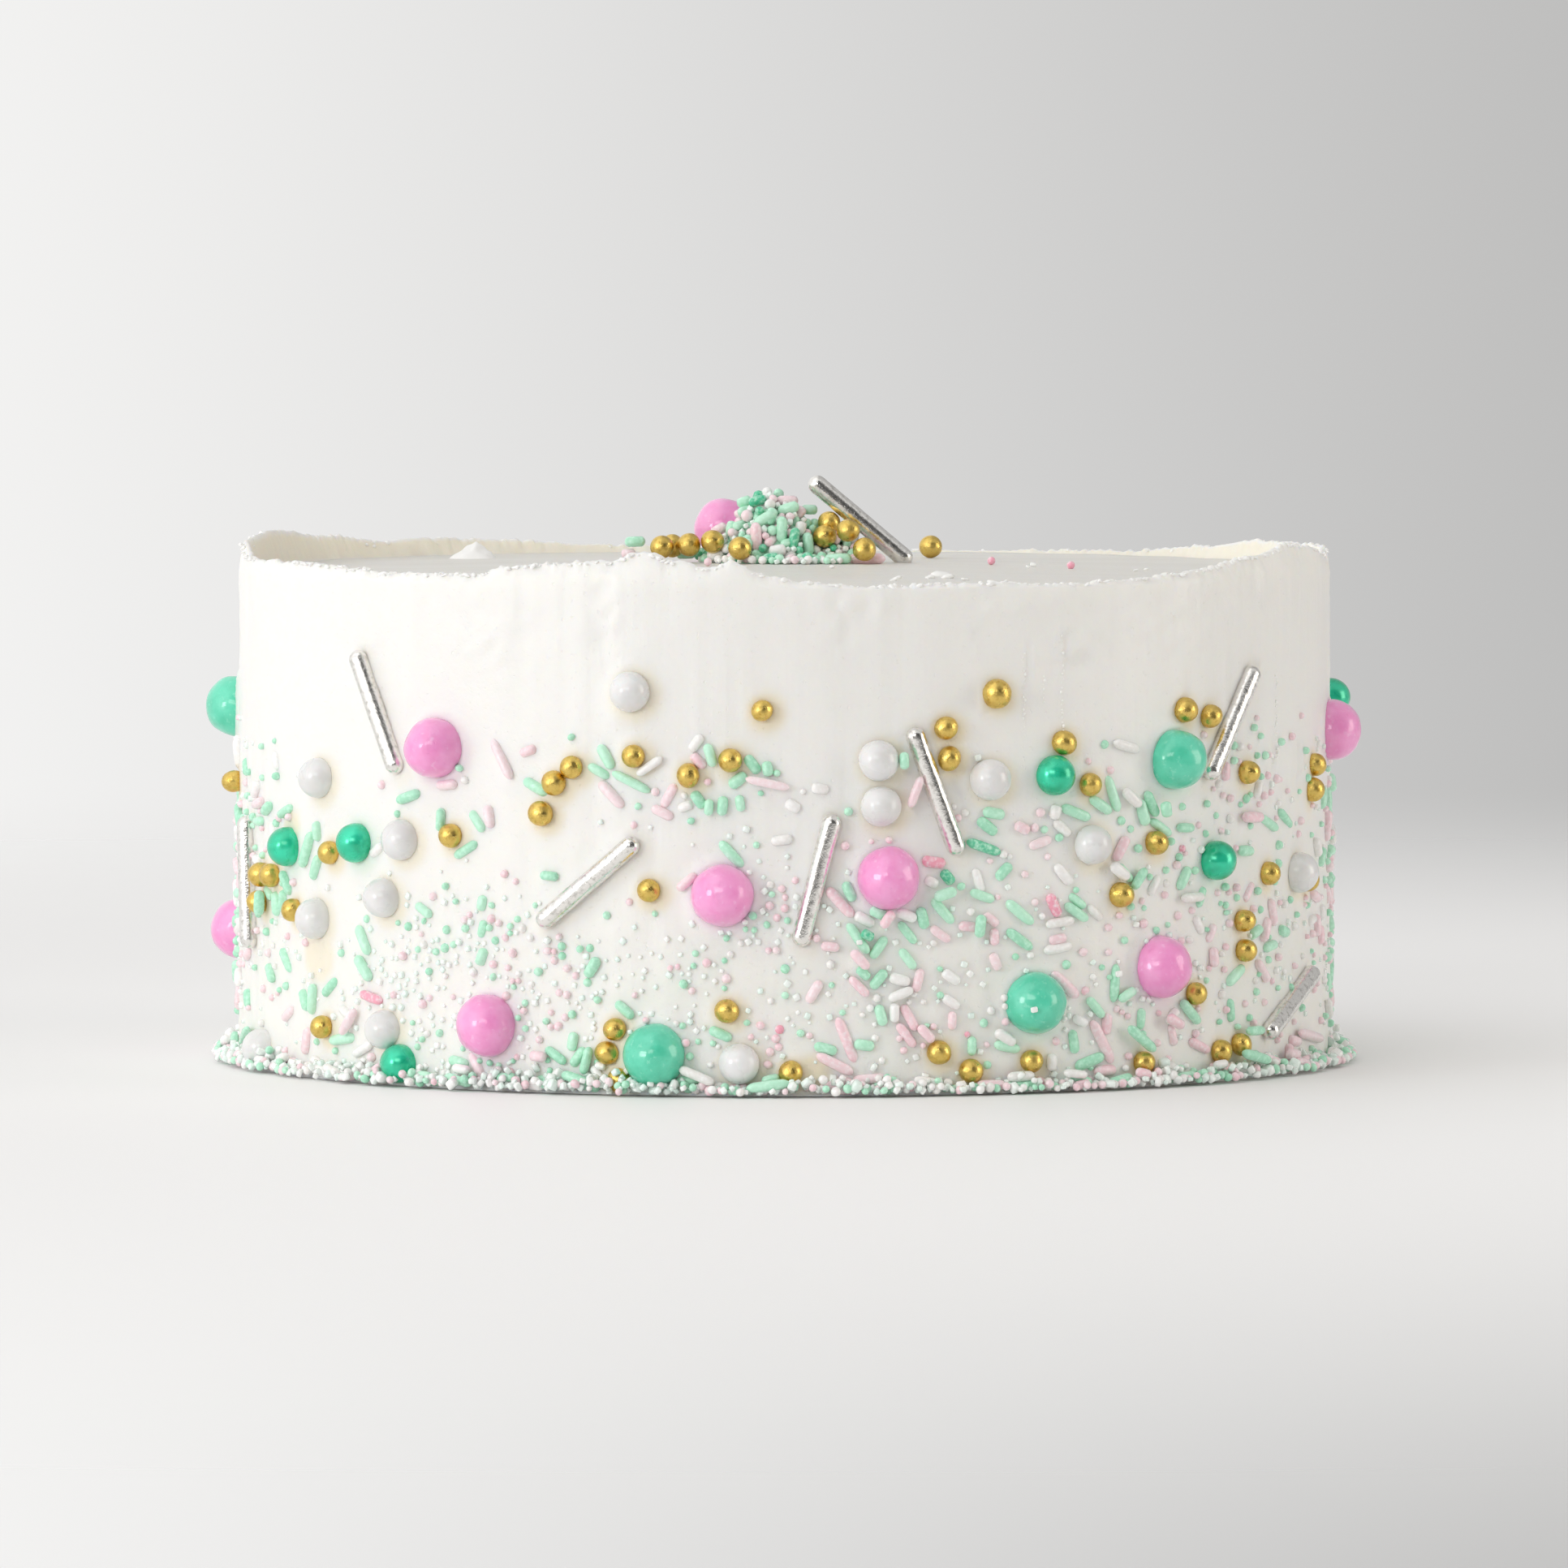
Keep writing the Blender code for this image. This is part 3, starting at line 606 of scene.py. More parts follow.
def scatter(name, template, placements, shades, material, replaced, lumps=()):
    """Joins a copy of the template at each placement, and swells it by (wave, depth) lumps."""
    template.verts.ensure_lookup_table()
    corners = np.array([v.co for v in template.verts])
    faces = np.array([[v.index for v in f.verts] for f in template.faces])
    template.free()
    turns = np.array([[list(row) for row in m] for m in placements])
    middles = turns[:, None, :3, 3]
    points = np.einsum("kij,vj->kvi", turns[:, :3, :3], corners) + middles
    if lumps:
        ways = points - middles
        ways /= np.linalg.norm(ways, axis=2, keepdims=True)
        flat = points.reshape(-1, 3)
        for wave, depth in lumps:
            swell = np.array([noise.noise(Vector(p) / wave) for p in flat])
            points = points + ways * (swell * depth).reshape(points.shape[0], -1, 1)
    rows = faces[None] + (np.arange(len(placements)) * len(corners))[:, None, None]
    mesh = bpy.data.meshes.new(name)
    mesh.from_pydata(points.reshape(-1, 3), [], rows.reshape(-1, faces.shape[1]).tolist())
    shade = mesh.attributes.new("shade", "FLOAT", "POINT")
    shade.data.foreach_set("value", np.repeat(np.array(shades, float), len(corners)))
    return new_piece(name, mesh, material, replaced)


def crumb_placements():
    draw = random.Random(31)
    made = []
    for column, row, size in CRUMBS_SEEN:
        middle = seen_on_top(column, row) + Vector((0, 0, 0.0002))
        size *= MILLIMETRE
        tilt = Vector((draw.uniform(-0.3, 0.3), draw.uniform(-0.3, 0.3), 1)).normalized()
        sizes = (size * 0.8, size * 0.45, size * 0.3)
        made.append(placement(middle, tilt, sizes, draw.uniform(0, 0.6)))
    for column, first, last in DRAG_LINES_SEEN:
        for row in range(first, last, DRAG_BEAD_STEP):
            azimuth, height = seen_on_wall(column + draw.uniform(-1, 1), row)
            radius = CAKE_RADIUS + wall_swell(azimuth, height) + DRAG_BEAD_LIFT
            middle = spot_at(azimuth, radius, height)
            size = draw.uniform(*DRAG_BEAD_SIZES) * MILLIMETRE
            made.append(placement(middle, outward(azimuth), (size, size * 1.3, size * 0.6)))
    return made


def flake_placements():
    draw = random.Random(32)
    made = []
    for _ in range(FLAKE_COUNT):
        # Most lie on the near half, where the knife left the rim roughest
        azimuth = draw.gauss(0, 1.25)
        rise = rim_rise(azimuth)
        inset = draw.uniform(*FLAKE_INSETS) * MILLIMETRE
        height = TOP_HEIGHT + rise * (0.97 if inset < 0.0016 else 0.75) - 0.0001
        middle = spot_at(azimuth, CAKE_RADIUS - inset, height)
        length = draw.uniform(0.35, 1.0) ** 2 * FLAKE_SIZE * MILLIMETRE
        sizes = (length, length * draw.uniform(0.4, 0.9), length * draw.uniform(0.25, 0.6))
        tilt = Vector((draw.uniform(-0.7, 0.7), draw.uniform(-0.7, 0.7), 1)).normalized()
        made.append(placement(middle, tilt, sizes, azimuth + draw.uniform(-0.7, 0.7)))
    return made


# Pieces so small show none of the icing's translucence
CRUMB_ICING = icing_material("crumb_icing", (1, 1, 1), (0.95, 0.945, 0.93), 0.0)
for name, template, made in (
    ("icing_crumbs", ball_template(3), crumb_placements()),
    ("icing_flakes", ball_template(2), flake_placements()),
):
    scatter(
        name, template, made, [0.5] * len(made), CRUMB_ICING, ["iced_cake"],
        lumps=((0.0011, 0.00028), (0.0005, 0.00012)),
    )


def peak_shape():
    """A soft peak pulled up from the icing, turned and then bent to one side."""
    shape = bmesh.new()
    points = [shape.verts.new((0, -radius, height)) for radius, height in PEAK_PROFILE]
    edges = [shape.edges.new(pair) for pair in zip(points, points[1:])]
    bmesh.ops.subdivide_edges(shape, edges=edges, cuts=3, smooth=0.5)
    bmesh.ops.spin(
        shape, geom=shape.verts[:] + shape.edges[:], cent=(0, 0, 0), axis=(0, 0, 1),
        angle=math.tau, steps=32, use_merge=True, use_duplicate=False,
    )
    bmesh.ops.remove_doubles(shape, verts=shape.verts, dist=WELD_DISTANCE)
    bmesh.ops.holes_fill(shape, edges=[e for e in shape.edges if e.is_boundary], sides=0)
    base = seen_on_top(*PEAK_SEEN)
    # The vector noise is drawn from a seed, unlike the plain one
    noise.seed_set(PEAK_SEED)
    for vertex in shape.verts:
        ruffle = noise.noise_vector(vertex.co / 0.0016) * PEAK_RUFFLE
        vertex.co.x = vertex.co.x * 0.95 + vertex.co.z * 0.22
        vertex.co += ruffle + base
    bmesh.ops.recalc_face_normals(shape, faces=shape.faces)
    return shape


new_piece("icing_peak", peak_shape(), CRUMB_ICING, ["iced_cake"])


# Candy balls. Panned sugar shells a centimetre across, pressed a little under half deep into the
# side. They are never quite round, with a satin polish, faint mottling and a few tiny pits.
BALL_RADIUS = 0.00525
# How uneven a ball is, broadly and finely, and its mean growth, as shares of its radius
BALL_LUMP, BALL_DIMPLE, BALL_GROWTH = 0.045, 0.010, 0.022


def ball_shape(middle, seed):
    draw = random.Random(seed)
    shape = ball_template(5)
    squash = Vector([draw.uniform(0.97, 1.03) for _ in range(3)])
    for vertex in shape.verts:
        way = vertex.co.normalized()
        lump = noise.noise(way * 1.25 + Vector((seed, 0, 0))) * BALL_LUMP + BALL_GROWTH
        lump += noise.noise(way * 3.1 + Vector((0, seed, 0))) * BALL_DIMPLE
        vertex.co = Vector(a * b for a, b in zip(way, squash)) * BALL_RADIUS * (1 + lump)
    bmesh.ops.translate(shape, vec=middle, verts=shape.verts)
    return shape


def candy_material(name, base, deeper, bloom):
    """A sugar shell: its colour a little deeper in patches, bloomed paler where it has rubbed."""
    made, nodes, links, shader = new_material(
        name, subsurface_weight=0.18, subsurface_scale=0.0015, specular_ior_level=0.5,
        coat_weight=0.9, coat_roughness=0.09,
    )
    shader.inputs["Subsurface Radius"].default_value = (1.0, 0.6, 0.6)
    mottle = blend_colours(nodes, links, speckle(nodes, 340.0, 4.0), base, deeper)
    rubbed = speckle(nodes, 900.0, 6.0, (1, 1, 1), 0.60, 0.82)
    links.new(blend_colours(nodes, links, rubbed, mottle, bloom), shader.inputs["Base Color"])
    satin = blend_values(nodes, links, speckle(nodes, 500.0, 4.0), 0.32, 0.44)
    links.new(satin, shader.inputs["Roughness"])
    pits = speckle(nodes, 1500.0, 2.0, (1, 1, 1), 0.24, 0.34)
    add_bump(nodes, links, shader, [(speckle(nodes, 420.0, 3.0), 0.00006), (pits, 0.00005)])
    return made


PINK_SHELL = candy_material(
    "pink_shell", (0.95, 0.375, 0.69), (0.91, 0.295, 0.62), (0.98, 0.55, 0.81),
)
MINT_SHELL = candy_material(
    "mint_shell", (0.12, 0.70, 0.48), (0.075, 0.60, 0.39), (0.32, 0.82, 0.64),
)
for start, material, slot in (
    ("pink_ball", PINK_SHELL, "pink_candy"), ("mint_ball", MINT_SHELL, "mint_candy"),
    ("heap_ball", PINK_SHELL, "pink_candy"),
):
    for seed, node in enumerate(nodes_named(start)):
        shape = ball_shape(node_middle(node), seed + len(start))
        new_piece(node + "_shell", shape, material, [node])


# Metallic rods. Sugar sticks in thin silver leaf, with soft dents along them and blunt round
# ends, pressed half deep. The leaf is grained, with dull flecks where it is worn.
ROD_RADIUS, ROD_LENGTH = 0.0017, 0.0235
ROD_DENT, ROD_WAIST = 0.016, 0.022


def rod_shape(ends, seed):
    middle, direction = (ends[0] + ends[1]) / 2, (ends[1] - ends[0]).normalized()
    shape = bmesh.new()
    bmesh.ops.create_uvsphere(shape, u_segments=28, v_segments=25, radius=ROD_RADIUS)
    for vertex in shape.verts:
        vertex.co.z += math.copysign(ROD_LENGTH / 2 - ROD_RADIUS, vertex.co.z)
    barrel = [e for e in shape.edges if abs(e.verts[0].co.z - e.verts[1].co.z) > ROD_LENGTH / 2]
    bmesh.ops.subdivide_edges(shape, edges=barrel, cuts=40, use_grid_fill=True)
    for vertex in shape.verts:
        place = Vector((vertex.co.x, vertex.co.y, vertex.co.z * 0.7)) / 0.0018
        dent = noise.noise(place + Vector((seed, 0, 0)))
        waist = noise.noise(Vector((seed, 0, vertex.co.z / 0.006)))
        swell = 1 + dent * ROD_DENT + waist * ROD_WAIST
        vertex.co.x *= swell
        vertex.co.y *= swell
    turn = Vector((0, 0, 1)).rotation_difference(direction).to_matrix()
    bmesh.ops.rotate(shape, matrix=turn, verts=shape.verts)
    bmesh.ops.translate(shape, vec=middle, verts=shape.verts)
    return shape


def leaf_material(name, bright, worn, rough, grain):
    """Edible metal leaf: bright, finely grained, with dull worn flecks and small creases."""
    made, nodes, links, shader = new_material(name, metallic=1.0)
    worn_mask = speckle(nodes, 1300.0, 5.0, (1, 1, 1), 0.50, 0.74)
    links.new(blend_colours(nodes, links, worn_mask, bright, worn), shader.inputs["Base Color"])
    dull = blend_values(nodes, links, speckle(nodes, 900.0, 4.0), *rough)
    links.new(dull, shader.inputs["Roughness"])
    add_bump(nodes, links, shader, [
        (speckle(nodes, 700.0, 3.0), grain), (speckle(nodes, 3600.0, 3.0), grain * 0.45),
    ])
    return made


SILVER_LEAF = leaf_material(
    "silver_leaf", (0.86, 0.84, 0.81), (0.56, 0.54, 0.51), (0.15, 0.25), 0.000025,
)
for start in ("silver_rod", "heap_rod"):
    for seed, node in enumerate(nodes_named(start)):
        shape = rod_shape(node_ends(node), seed + 3.7)
        new_piece(node + "_leaf", shape, SILVER_LEAF, [node])


# Pearls and gold beads. Sugar pearls, white and green, with a soft pearly lustre that is partly a
# painted sheen, and small beads in gold leaf, slightly dented. Each is pressed into the side where
# the photograph shows it, and the far half carries the same ones turned half round.
GOLD_SIZES = {
    (1155, 788): 1.24, (1216, 834): 1.06, (1326, 805): 1.1, (942, 801): 0.88, (984, 1129): 1.08,
    (1268, 976): 1.1, (1300, 928): 1.04,
}
# The gap that is kept between two candies, and how far two beads may be pressed together
FIT_GAP, BEAD_OVERLAP = 0.0003, 0.0009


class Candies:
    """What already lies on the cake, so that nothing new is laid across it."""

    CELL = 0.006

    def __init__(self):
        self.cells = {}

    def cell(self, point):
        return tuple(int(c // self.CELL) for c in point)

    def add(self, start, end, radius):
        steps = max(1, int((end - start).length / 0.002))
        for step in range(steps + 1):
            point = start.lerp(end, step / steps)
            self.cells.setdefault(self.cell(point), []).append((point, radius))

    def free(self, start, end, radius, gap=FIT_GAP):
        steps = max(1, int((end - start).length / 0.0015))
        for step in range(steps + 1):
            point = start.lerp(end, step / steps)
            x, y, z = self.cell(point)
            for dx in (-1, 0, 1):
                for dy in (-1, 0, 1):
                    for dz in (-1, 0, 1):
                        for other, reach in self.cells.get((x + dx, y + dy, z + dz), ()):
                            if (other - point).length < radius + reach + gap:
                                return False
        return True


laid = Candies()
for node in nodes_named("pink_ball") + nodes_named("mint_ball") + nodes_named("heap_ball"):
    laid.add(node_middle(node), node_middle(node), BALL_RADIUS)
for node in nodes_named("silver_rod") + nodes_named("heap_rod"):
    laid.add(*node_ends(node), ROD_RADIUS)


def sized(seen, lift, sizes=None):
    return [(*seen_on_wall(*pixel, lift), (sizes or {}).get(pixel, 1.0)) for pixel in seen]


def bead_placements(places, radius, lift, unevenness, seed):
    """Beads at (azimuth, height, size). A pair may touch, and one that would cross is left out."""
    draw = random.Random(seed)
    made = []
    for azimuth, height, size in with_twins(places, TWIN_LIMIT):
        own = radius * size
        middle = spot_at(azimuth, CAKE_RADIUS + lift, max(height, radius + FIT_GAP))
        if not laid.free(middle, middle, radius, gap=-BEAD_OVERLAP):
            continue
        laid.add(middle, middle, own)
        sizes = [own * draw.uniform(1 - unevenness, 1 + unevenness) for _ in range(3)]
        made.append(placement(middle, outward(azimuth), sizes, draw.uniform(0, math.tau)))
    return made


def pearl_material(name, base, painted_sheen, rough, metallic):
    """Pearly sugar under a thin clear glaze, with a painted sheen: paler facing the eye, deeper at the
    rim.
    """
    made, nodes, links, shader = new_material(
        name, metallic=metallic, coat_weight=0.5, coat_roughness=0.14, subsurface_weight=0.12,
        subsurface_scale=0.001, specular_ior_level=0.55,
    )
    # Painted sheen: the colour is paler where the pearl faces the eye
    facing_sheen = nodes.new("ShaderNodeLayerWeight")
    facing_sheen.inputs["Blend"].default_value = 0.35
    colour = blend_colours(nodes, links, facing_sheen.outputs["Facing"], painted_sheen, base)
    cloudy = blend_colours(nodes, links, speckle(nodes, 260.0, 2.0), colour, base)
    links.new(cloudy, shader.inputs["Base Color"])
    dull = blend_values(nodes, links, speckle(nodes, 300.0, 2.0), *rough)
    links.new(dull, shader.inputs["Roughness"])
    add_bump(nodes, links, shader, [(speckle(nodes, 400.0, 2.0), 0.00001)])
    return made


WHITE_PEARL = pearl_material(
    "white_pearl", (0.74, 0.735, 0.725), (0.83, 0.83, 0.835), (0.24, 0.36), 0.0,
)
GREEN_PEARL = pearl_material(
    "green_pearl", (0.006, 0.48, 0.25), (0.03, 0.74, 0.45), (0.20, 0.32), 0.30,
)
GOLD_LEAF = leaf_material(
    "gold_leaf", (0.76, 0.545, 0.15), (0.58, 0.375, 0.075), (0.25, 0.38), 0.00004,
)
green_places = sized(GREEN_PEARLS_SEEN, PEARL_LIFT)
green_places.append((math.radians(GREEN_PEARL_BEHIND_EDGE[0]), GREEN_PEARL_BEHIND_EDGE[1], 1.0))
white = bead_placements(sized(WHITE_PEARLS_SEEN, PEARL_LIFT), PEARL_RADIUS, PEARL_LIFT, 0.03, 11)
green = bead_placements(green_places, PEARL_RADIUS, PEARL_LIFT, 0.025, 12)
gold_places = sized(GOLD_BEADS_SEEN, GOLD_LIFT, GOLD_SIZES)
gold = bead_placements(gold_places, GOLD_RADIUS, GOLD_LIFT, 0.07, 13)
PEARL_LUMPS, BEAD_LUMPS = ((0.0040, 0.00009),), ((0.0030, 0.00012), (0.0011, 0.00003))
for name, made, fineness, material, slot, lumps in (
    ("white_pearls", white, 4, WHITE_PEARL, "pearl_shell", PEARL_LUMPS),
    ("green_pearls", green, 4, GREEN_PEARL, "green_pearl_shell", PEARL_LUMPS),
    ("gold_beads", gold, 3, GOLD_LEAF, "gold_shell", BEAD_LUMPS),
):
    shades = [0.5] * len(made)
    scatter(name, ball_template(fineness), made, shades, material, ["iced_cake"], lumps)


# Jimmies. Short sugar sticks with round ends, pressed flat into the side at every tilt, some over
# others: mint, pale pink and white, with a few deeper ones. The far half repeats them.
MINT, DEEP_MINT, PINK, ROSE, WHITE = "mint", "deep mint", "pink", "rose", "white"
# Each kind's sugar, and how far its own shade lies from the light to the deep colour
KINDS = {
    MINT: ("mint", 0.0, 0.33), DEEP_MINT: ("mint", 0.8, 1.0), PINK: ("pink", 0.0, 0.3),
    ROSE: ("pink", 0.85, 1.0), WHITE: ("white", 0.0, 1.0),
}
JIMMY_RADIUS, JIMMY_OVERLAP = 0.00094, 0.0002
JIMMY_LENGTHS = (0.0030, 0.0058)
# How far one stands out from the icing, and how much farther for each one under it
JIMMY_LIFTS, LAYER_STEP = (-0.0001, 0.0005), 0.0006
# Scattered ones lie no higher than this, in millimetres
SPRINKLE_LIMIT = 55
# Below the top, a band this wide stays clean
CLEAN_BAND = 0.012
# As they are seen: (column, row, tilt to the right in degrees, length)
JIMMIES_SEEN = {
    MINT: (
        (735, 867, -60, 26), (621, 874, 70, 21), (650, 895, 0, 21), (682, 897, -34, 22),
        (672, 922, 58, 23), (748, 947, -81, 16), (634, 975, -52, 18), (579, 1000, -20, 28),
        (580, 1025, -28, 25), (532, 1051, 5, 27), (547, 1041, 42, 18), (559, 1087, 84, 21),
        (471, 1094, 38, 27), (686, 970, 10, 14), (686, 993, 16, 16), (686, 1018, 18, 16),
        (754, 1108, -53, 24), (769, 1096, 8, 17), (774, 1110, 35, 20), (748, 1129, 88, 25),
        (529, 919, 13, 32), (536, 935, 17, 22), (509, 948, -17, 22), (491, 965, 5, 22),
        (498, 966, -3, 22), (505, 964, 3, 20), (507, 1016, -20, 22), (493, 1027, -20, 16),
        (800, 841, -30, 25), (793, 854, -58, 22), (823, 864, -62, 39), (895, 841, -17, 22),
        (933, 850, -38, 20), (947, 854, -13, 14), (920, 864, 54, 19), (884, 881, -33, 18),
        (894, 888, 3, 15), (906, 887, 5, 18), (922, 885, -8, 15), (834, 909, 7, 17),
        (914, 931, -42, 32), (1069, 848, -3, 16), (1021, 967, -25, 20), (1047, 987, -65, 16),
        (1088, 993, -14, 21), (1106, 987, -41, 30), (1106, 971, 72, 21), (1029, 1010, -34, 34),
        (1048, 1019, 36, 24), (1074, 1006, -38, 25), (1074, 1030, -36, 23), (1034, 1042, -45, 15),
        (1048, 1048, 40, 21), (1050, 1081, -15, 20), (1000, 1110, -72, 22), (1035, 1108, -80, 19),
        (948, 1141, 85, 40), (787, 1030, 33, 20), (817, 1069, -48, 22), (783, 1113, 15, 25),
        (1153, 898, -78, 20), (1147, 910, -51, 22), (1261, 882, -16, 35), (1249, 892, -52, 24),
        (1288, 900, -12, 25), (1296, 892, -20, 25), (1303, 897, -5, 15), (1305, 914, -53, 23),
        (1328, 915, -88, 16), (1227, 899, -66, 27), (1162, 952, 42, 19), (1142, 974, -70, 24),
        (1273, 956, -38, 20), (1283, 961, 30, 22), (1326, 962, 23, 23), (1402, 911, -51, 22),
        (1419, 908, -39, 20), (1176, 990, -48, 32), (1229, 981, -50, 19), (1227, 991, -53, 25),
        (1176, 1015, -52, 29), (1263, 1058, 4, 36), (1272, 1069, 57, 18), (1245, 1080, -37, 23),
        (1287, 1092, 3, 20), (1282, 1110, -46, 33), (1331, 1087, -40, 28), (1370, 1087, -3, 22),
        (1374, 1054, 40, 22), (1375, 1030, 38, 20), (1343, 980, 16, 20), (1240, 1130, 68, 27),
        (1165, 1114, -75, 24), (1133, 1112, 3, 18), (1379, 1130, -70, 24), (1384, 1106, 88, 15),
    ),
    DEEP_MINT: ((1143, 929, -70, 33), (1111, 956, -40, 16), (1037, 1007, -60, 12)),
    PINK: (
        (584, 893, 19, 28), (693, 893, -9, 21), (569, 1072, 26, 25), (681, 1114, -23, 26),
        (710, 1135, -88, 30), (740, 1108, -80, 15), (705, 842, -27, 40), (728, 835, 70, 15),
        (655, 864, 85, 18), (805, 875, -43, 32), (857, 877, 30, 24), (851, 892, -63, 22),
        (884, 846, -42, 17), (947, 867, -77, 42), (874, 955, 50, 22), (1080, 877, 20, 30),
        (1013, 977, -42, 36), (1054, 993, 37, 18), (1104, 1008, -52, 22), (1030, 1029, -43, 23),
        (1084, 1050, 14, 22), (1004, 1017, -82, 17), (1030, 1054, -44, 24), (1076, 1084, -27, 27),
        (1073, 1100, -36, 27), (1090, 1099, -42, 20), (1019, 1103, -22, 46), (1008, 1124, -61, 38),
        (1115, 1088, 0, 17), (1040, 1139, 88, 30), (1195, 926, 70, 22), (1268, 933, 26, 25),
        (1386, 906, -88, 17), (1130, 1002, -84, 18), (1150, 996, -53, 17), (1154, 1035, -23, 17),
        (1216, 1058, -45, 34), (1251, 1112, -24, 44), (1316, 1108, -9, 20), (1312, 1095, -56, 17),
        (1340, 1119, -59, 20), (1352, 1014, 17, 18), (1407, 996, -12, 26), (1254, 1139, 88, 20),
        (1439, 1113, -72, 24), (1365, 863, 0, 18), (1178, 912, -60, 14), (1153, 1012, 0, 16),
    ),
    ROSE: ((587, 1051, -66, 20), (1098, 942, -81, 22), (1206, 984, -25, 23)),
    WHITE: (
        (590, 921, 50, 13), (840, 850, 57, 28), (882, 830, 35, 18), (970, 888, -60, 15),
        (995, 873, -80, 16), (960, 919, 82, 20), (872, 887, 70, 14), (1035, 993, -61, 21),
        (1073, 990, -66, 20), (1067, 1049, -72, 20), (1067, 1062, 69, 24), (1062, 1079, 0, 18),
        (1114, 1048, -55, 19), (1114, 1071, -55, 19), (884, 1130, -66, 36), (793, 1126, -40, 19),
        (1096, 960, -60, 14), (1273, 838, -73, 25), (1276, 886, -43, 21), (1215, 913, -44, 19),
        (1216, 956, -40, 24), (1264, 954, -49, 21), (1212, 1000, 80, 26), (1211, 1024, 80, 26),
        (1332, 980, 86, 21), (1341, 1006, -26, 18), (1162, 1105, -56, 22), (1174, 1141, 88, 24),
        (1307, 1137, -86, 22), (1245, 992, -47, 18), (1300, 968, 28, 20), (1208, 898, 15, 14),
    ),
}
# The rest, as (azimuth in degrees, height, their spreads in degrees and in millimetres, and how
# many mint, pink and white)
JIMMY_CLUSTERS = (
    (-64, 44, 5, 8, 4, 2, 3), (-78, 34, 6, 14, 6, 4, 3), (-92, 32, 8, 16, 9, 7, 4),
    (12, 30, 6, 8, 2, 1, 2), (28, 26, 8, 9, 1, 2, 4), (27, 11, 9, 6, 2, 2, 3),
    (50, 34, 8, 14, 2, 3, 3), (66, 34, 6, 16, 6, 7, 4), (80, 32, 7, 17, 7, 7, 4),
    (-38, 7, 12, 2, 4, 2, 2), (-60, 10, 8, 5, 3, 3, 2), (102, 34, 8, 17, 6, 6, 5),
)


def along_wall(azimuth, tilt):
    right = Vector((math.cos(azimuth), math.sin(azimuth), 0.0))
    return right * math.sin(tilt) + Vector((0, 0, math.cos(tilt)))


def named_jimmies():
    """(azimuth, height, tilt, length, kind, how many may lie under it) of those that stand out."""
    made = []
    for kind, seen in JIMMIES_SEEN.items():
        for column, row, tilt, length in seen:
            right = math.sin(math.radians(tilt)) * length / 2
            up = math.cos(math.radians(tilt)) * length / 2
            first, low = seen_on_wall(column - right, row + up, 0.0006)
            last, high = seen_on_wall(column + right, row - up, 0.0006)
            across = (last - first) * CAKE_RADIUS
            long = math.hypot(across, high - low)
            place = ((first + last) / 2, (low + high) / 2)
            made.append((*place, math.atan2(across, high - low), long, kind, 6))
    return made


def clustered_jimmies():
    draw = random.Random(410)
    made = []
    for degrees, height, wide, high, *counts in JIMMY_CLUSTERS:
        for kind, count in zip((MINT, PINK, WHITE), counts):
            for _ in range(count):
                azimuth = math.radians(draw.gauss(degrees, wide))
                rise = abs(draw.gauss(height, high))
                tilt = draw.uniform(-math.pi / 2, math.pi / 2)
                length = draw.uniform(*JIMMY_LENGTHS)
                if rise < SPRINKLE_LIMIT:
                    made.append((azimuth, rise * MILLIMETRE, tilt, length, kind, 2))
    return made


def lay_stick(azimuth, height, tilt, length, radius, layers, draw):
    """Lays a stick on the wall, or over what lies there, and returns its placement or None."""
    direction = along_wall(azimuth, tilt)
    lowest = abs(direction.z) * (length / 2 - radius) + radius + 0.0002
    height = max(height, lowest)
    lift = draw.uniform(*JIMMY_LIFTS)
    swell = wall_swell(azimuth, height)
    direction = (direction + outward(azimuth) * draw.uniform(-0.10, 0.10)).normalized()
    half = direction * (length / 2 - radius)
    for layer in range(layers):
        middle = spot_at(azimuth, CAKE_RADIUS + swell + lift + layer * LAYER_STEP, height)
        if laid.free(middle - half, middle + half, radius, gap=-JIMMY_OVERLAP):
            laid.add(middle - half, middle + half, radius)
            size = (radius, radius * draw.uniform(0.88, 1.0), length / 4)
            return placement(middle, direction, size, draw.uniform(0, math.tau))
    return None


def shade_of(kind, draw):
    return draw.uniform(*KINDS[kind][1:])


def lay_jimmies():
    """{sugar: [(placement, shade)]} of every jimmy on the side."""
    draw = random.Random(77)
    made = {MINT: [], PINK: [], WHITE: []}
    sticks = with_twins(named_jimmies() + clustered_jimmies())
    for azimuth, height, tilt, length, kind, layers in sticks:
        radius = JIMMY_RADIUS * draw.uniform(0.90, 1.10)
        if height > TOP_HEIGHT - CLEAN_BAND:
            continue
        matrix = lay_stick(azimuth, height, tilt, max(length, radius * 2.4), radius, layers, draw)
        if matrix:
            made[KINDS[kind][0]].append((matrix, shade_of(kind, draw)))
    return made


def pill_template(stretch, sides=12, bands=10):
    """A round-ended stick of radius 1 whose length is stretch radii, upright on Z."""
    shape = bmesh.new()
    bmesh.ops.create_uvsphere(shape, u_segments=sides, v_segments=bands, radius=1.0)
    for vertex in shape.verts:
        if abs(vertex.co.z) > 1e-4:
            vertex.co.z += math.copysign(stretch / 2 - 1, vertex.co.z)
    bmesh.ops.triangulate(shape, faces=shape.faces[:])
    return shape


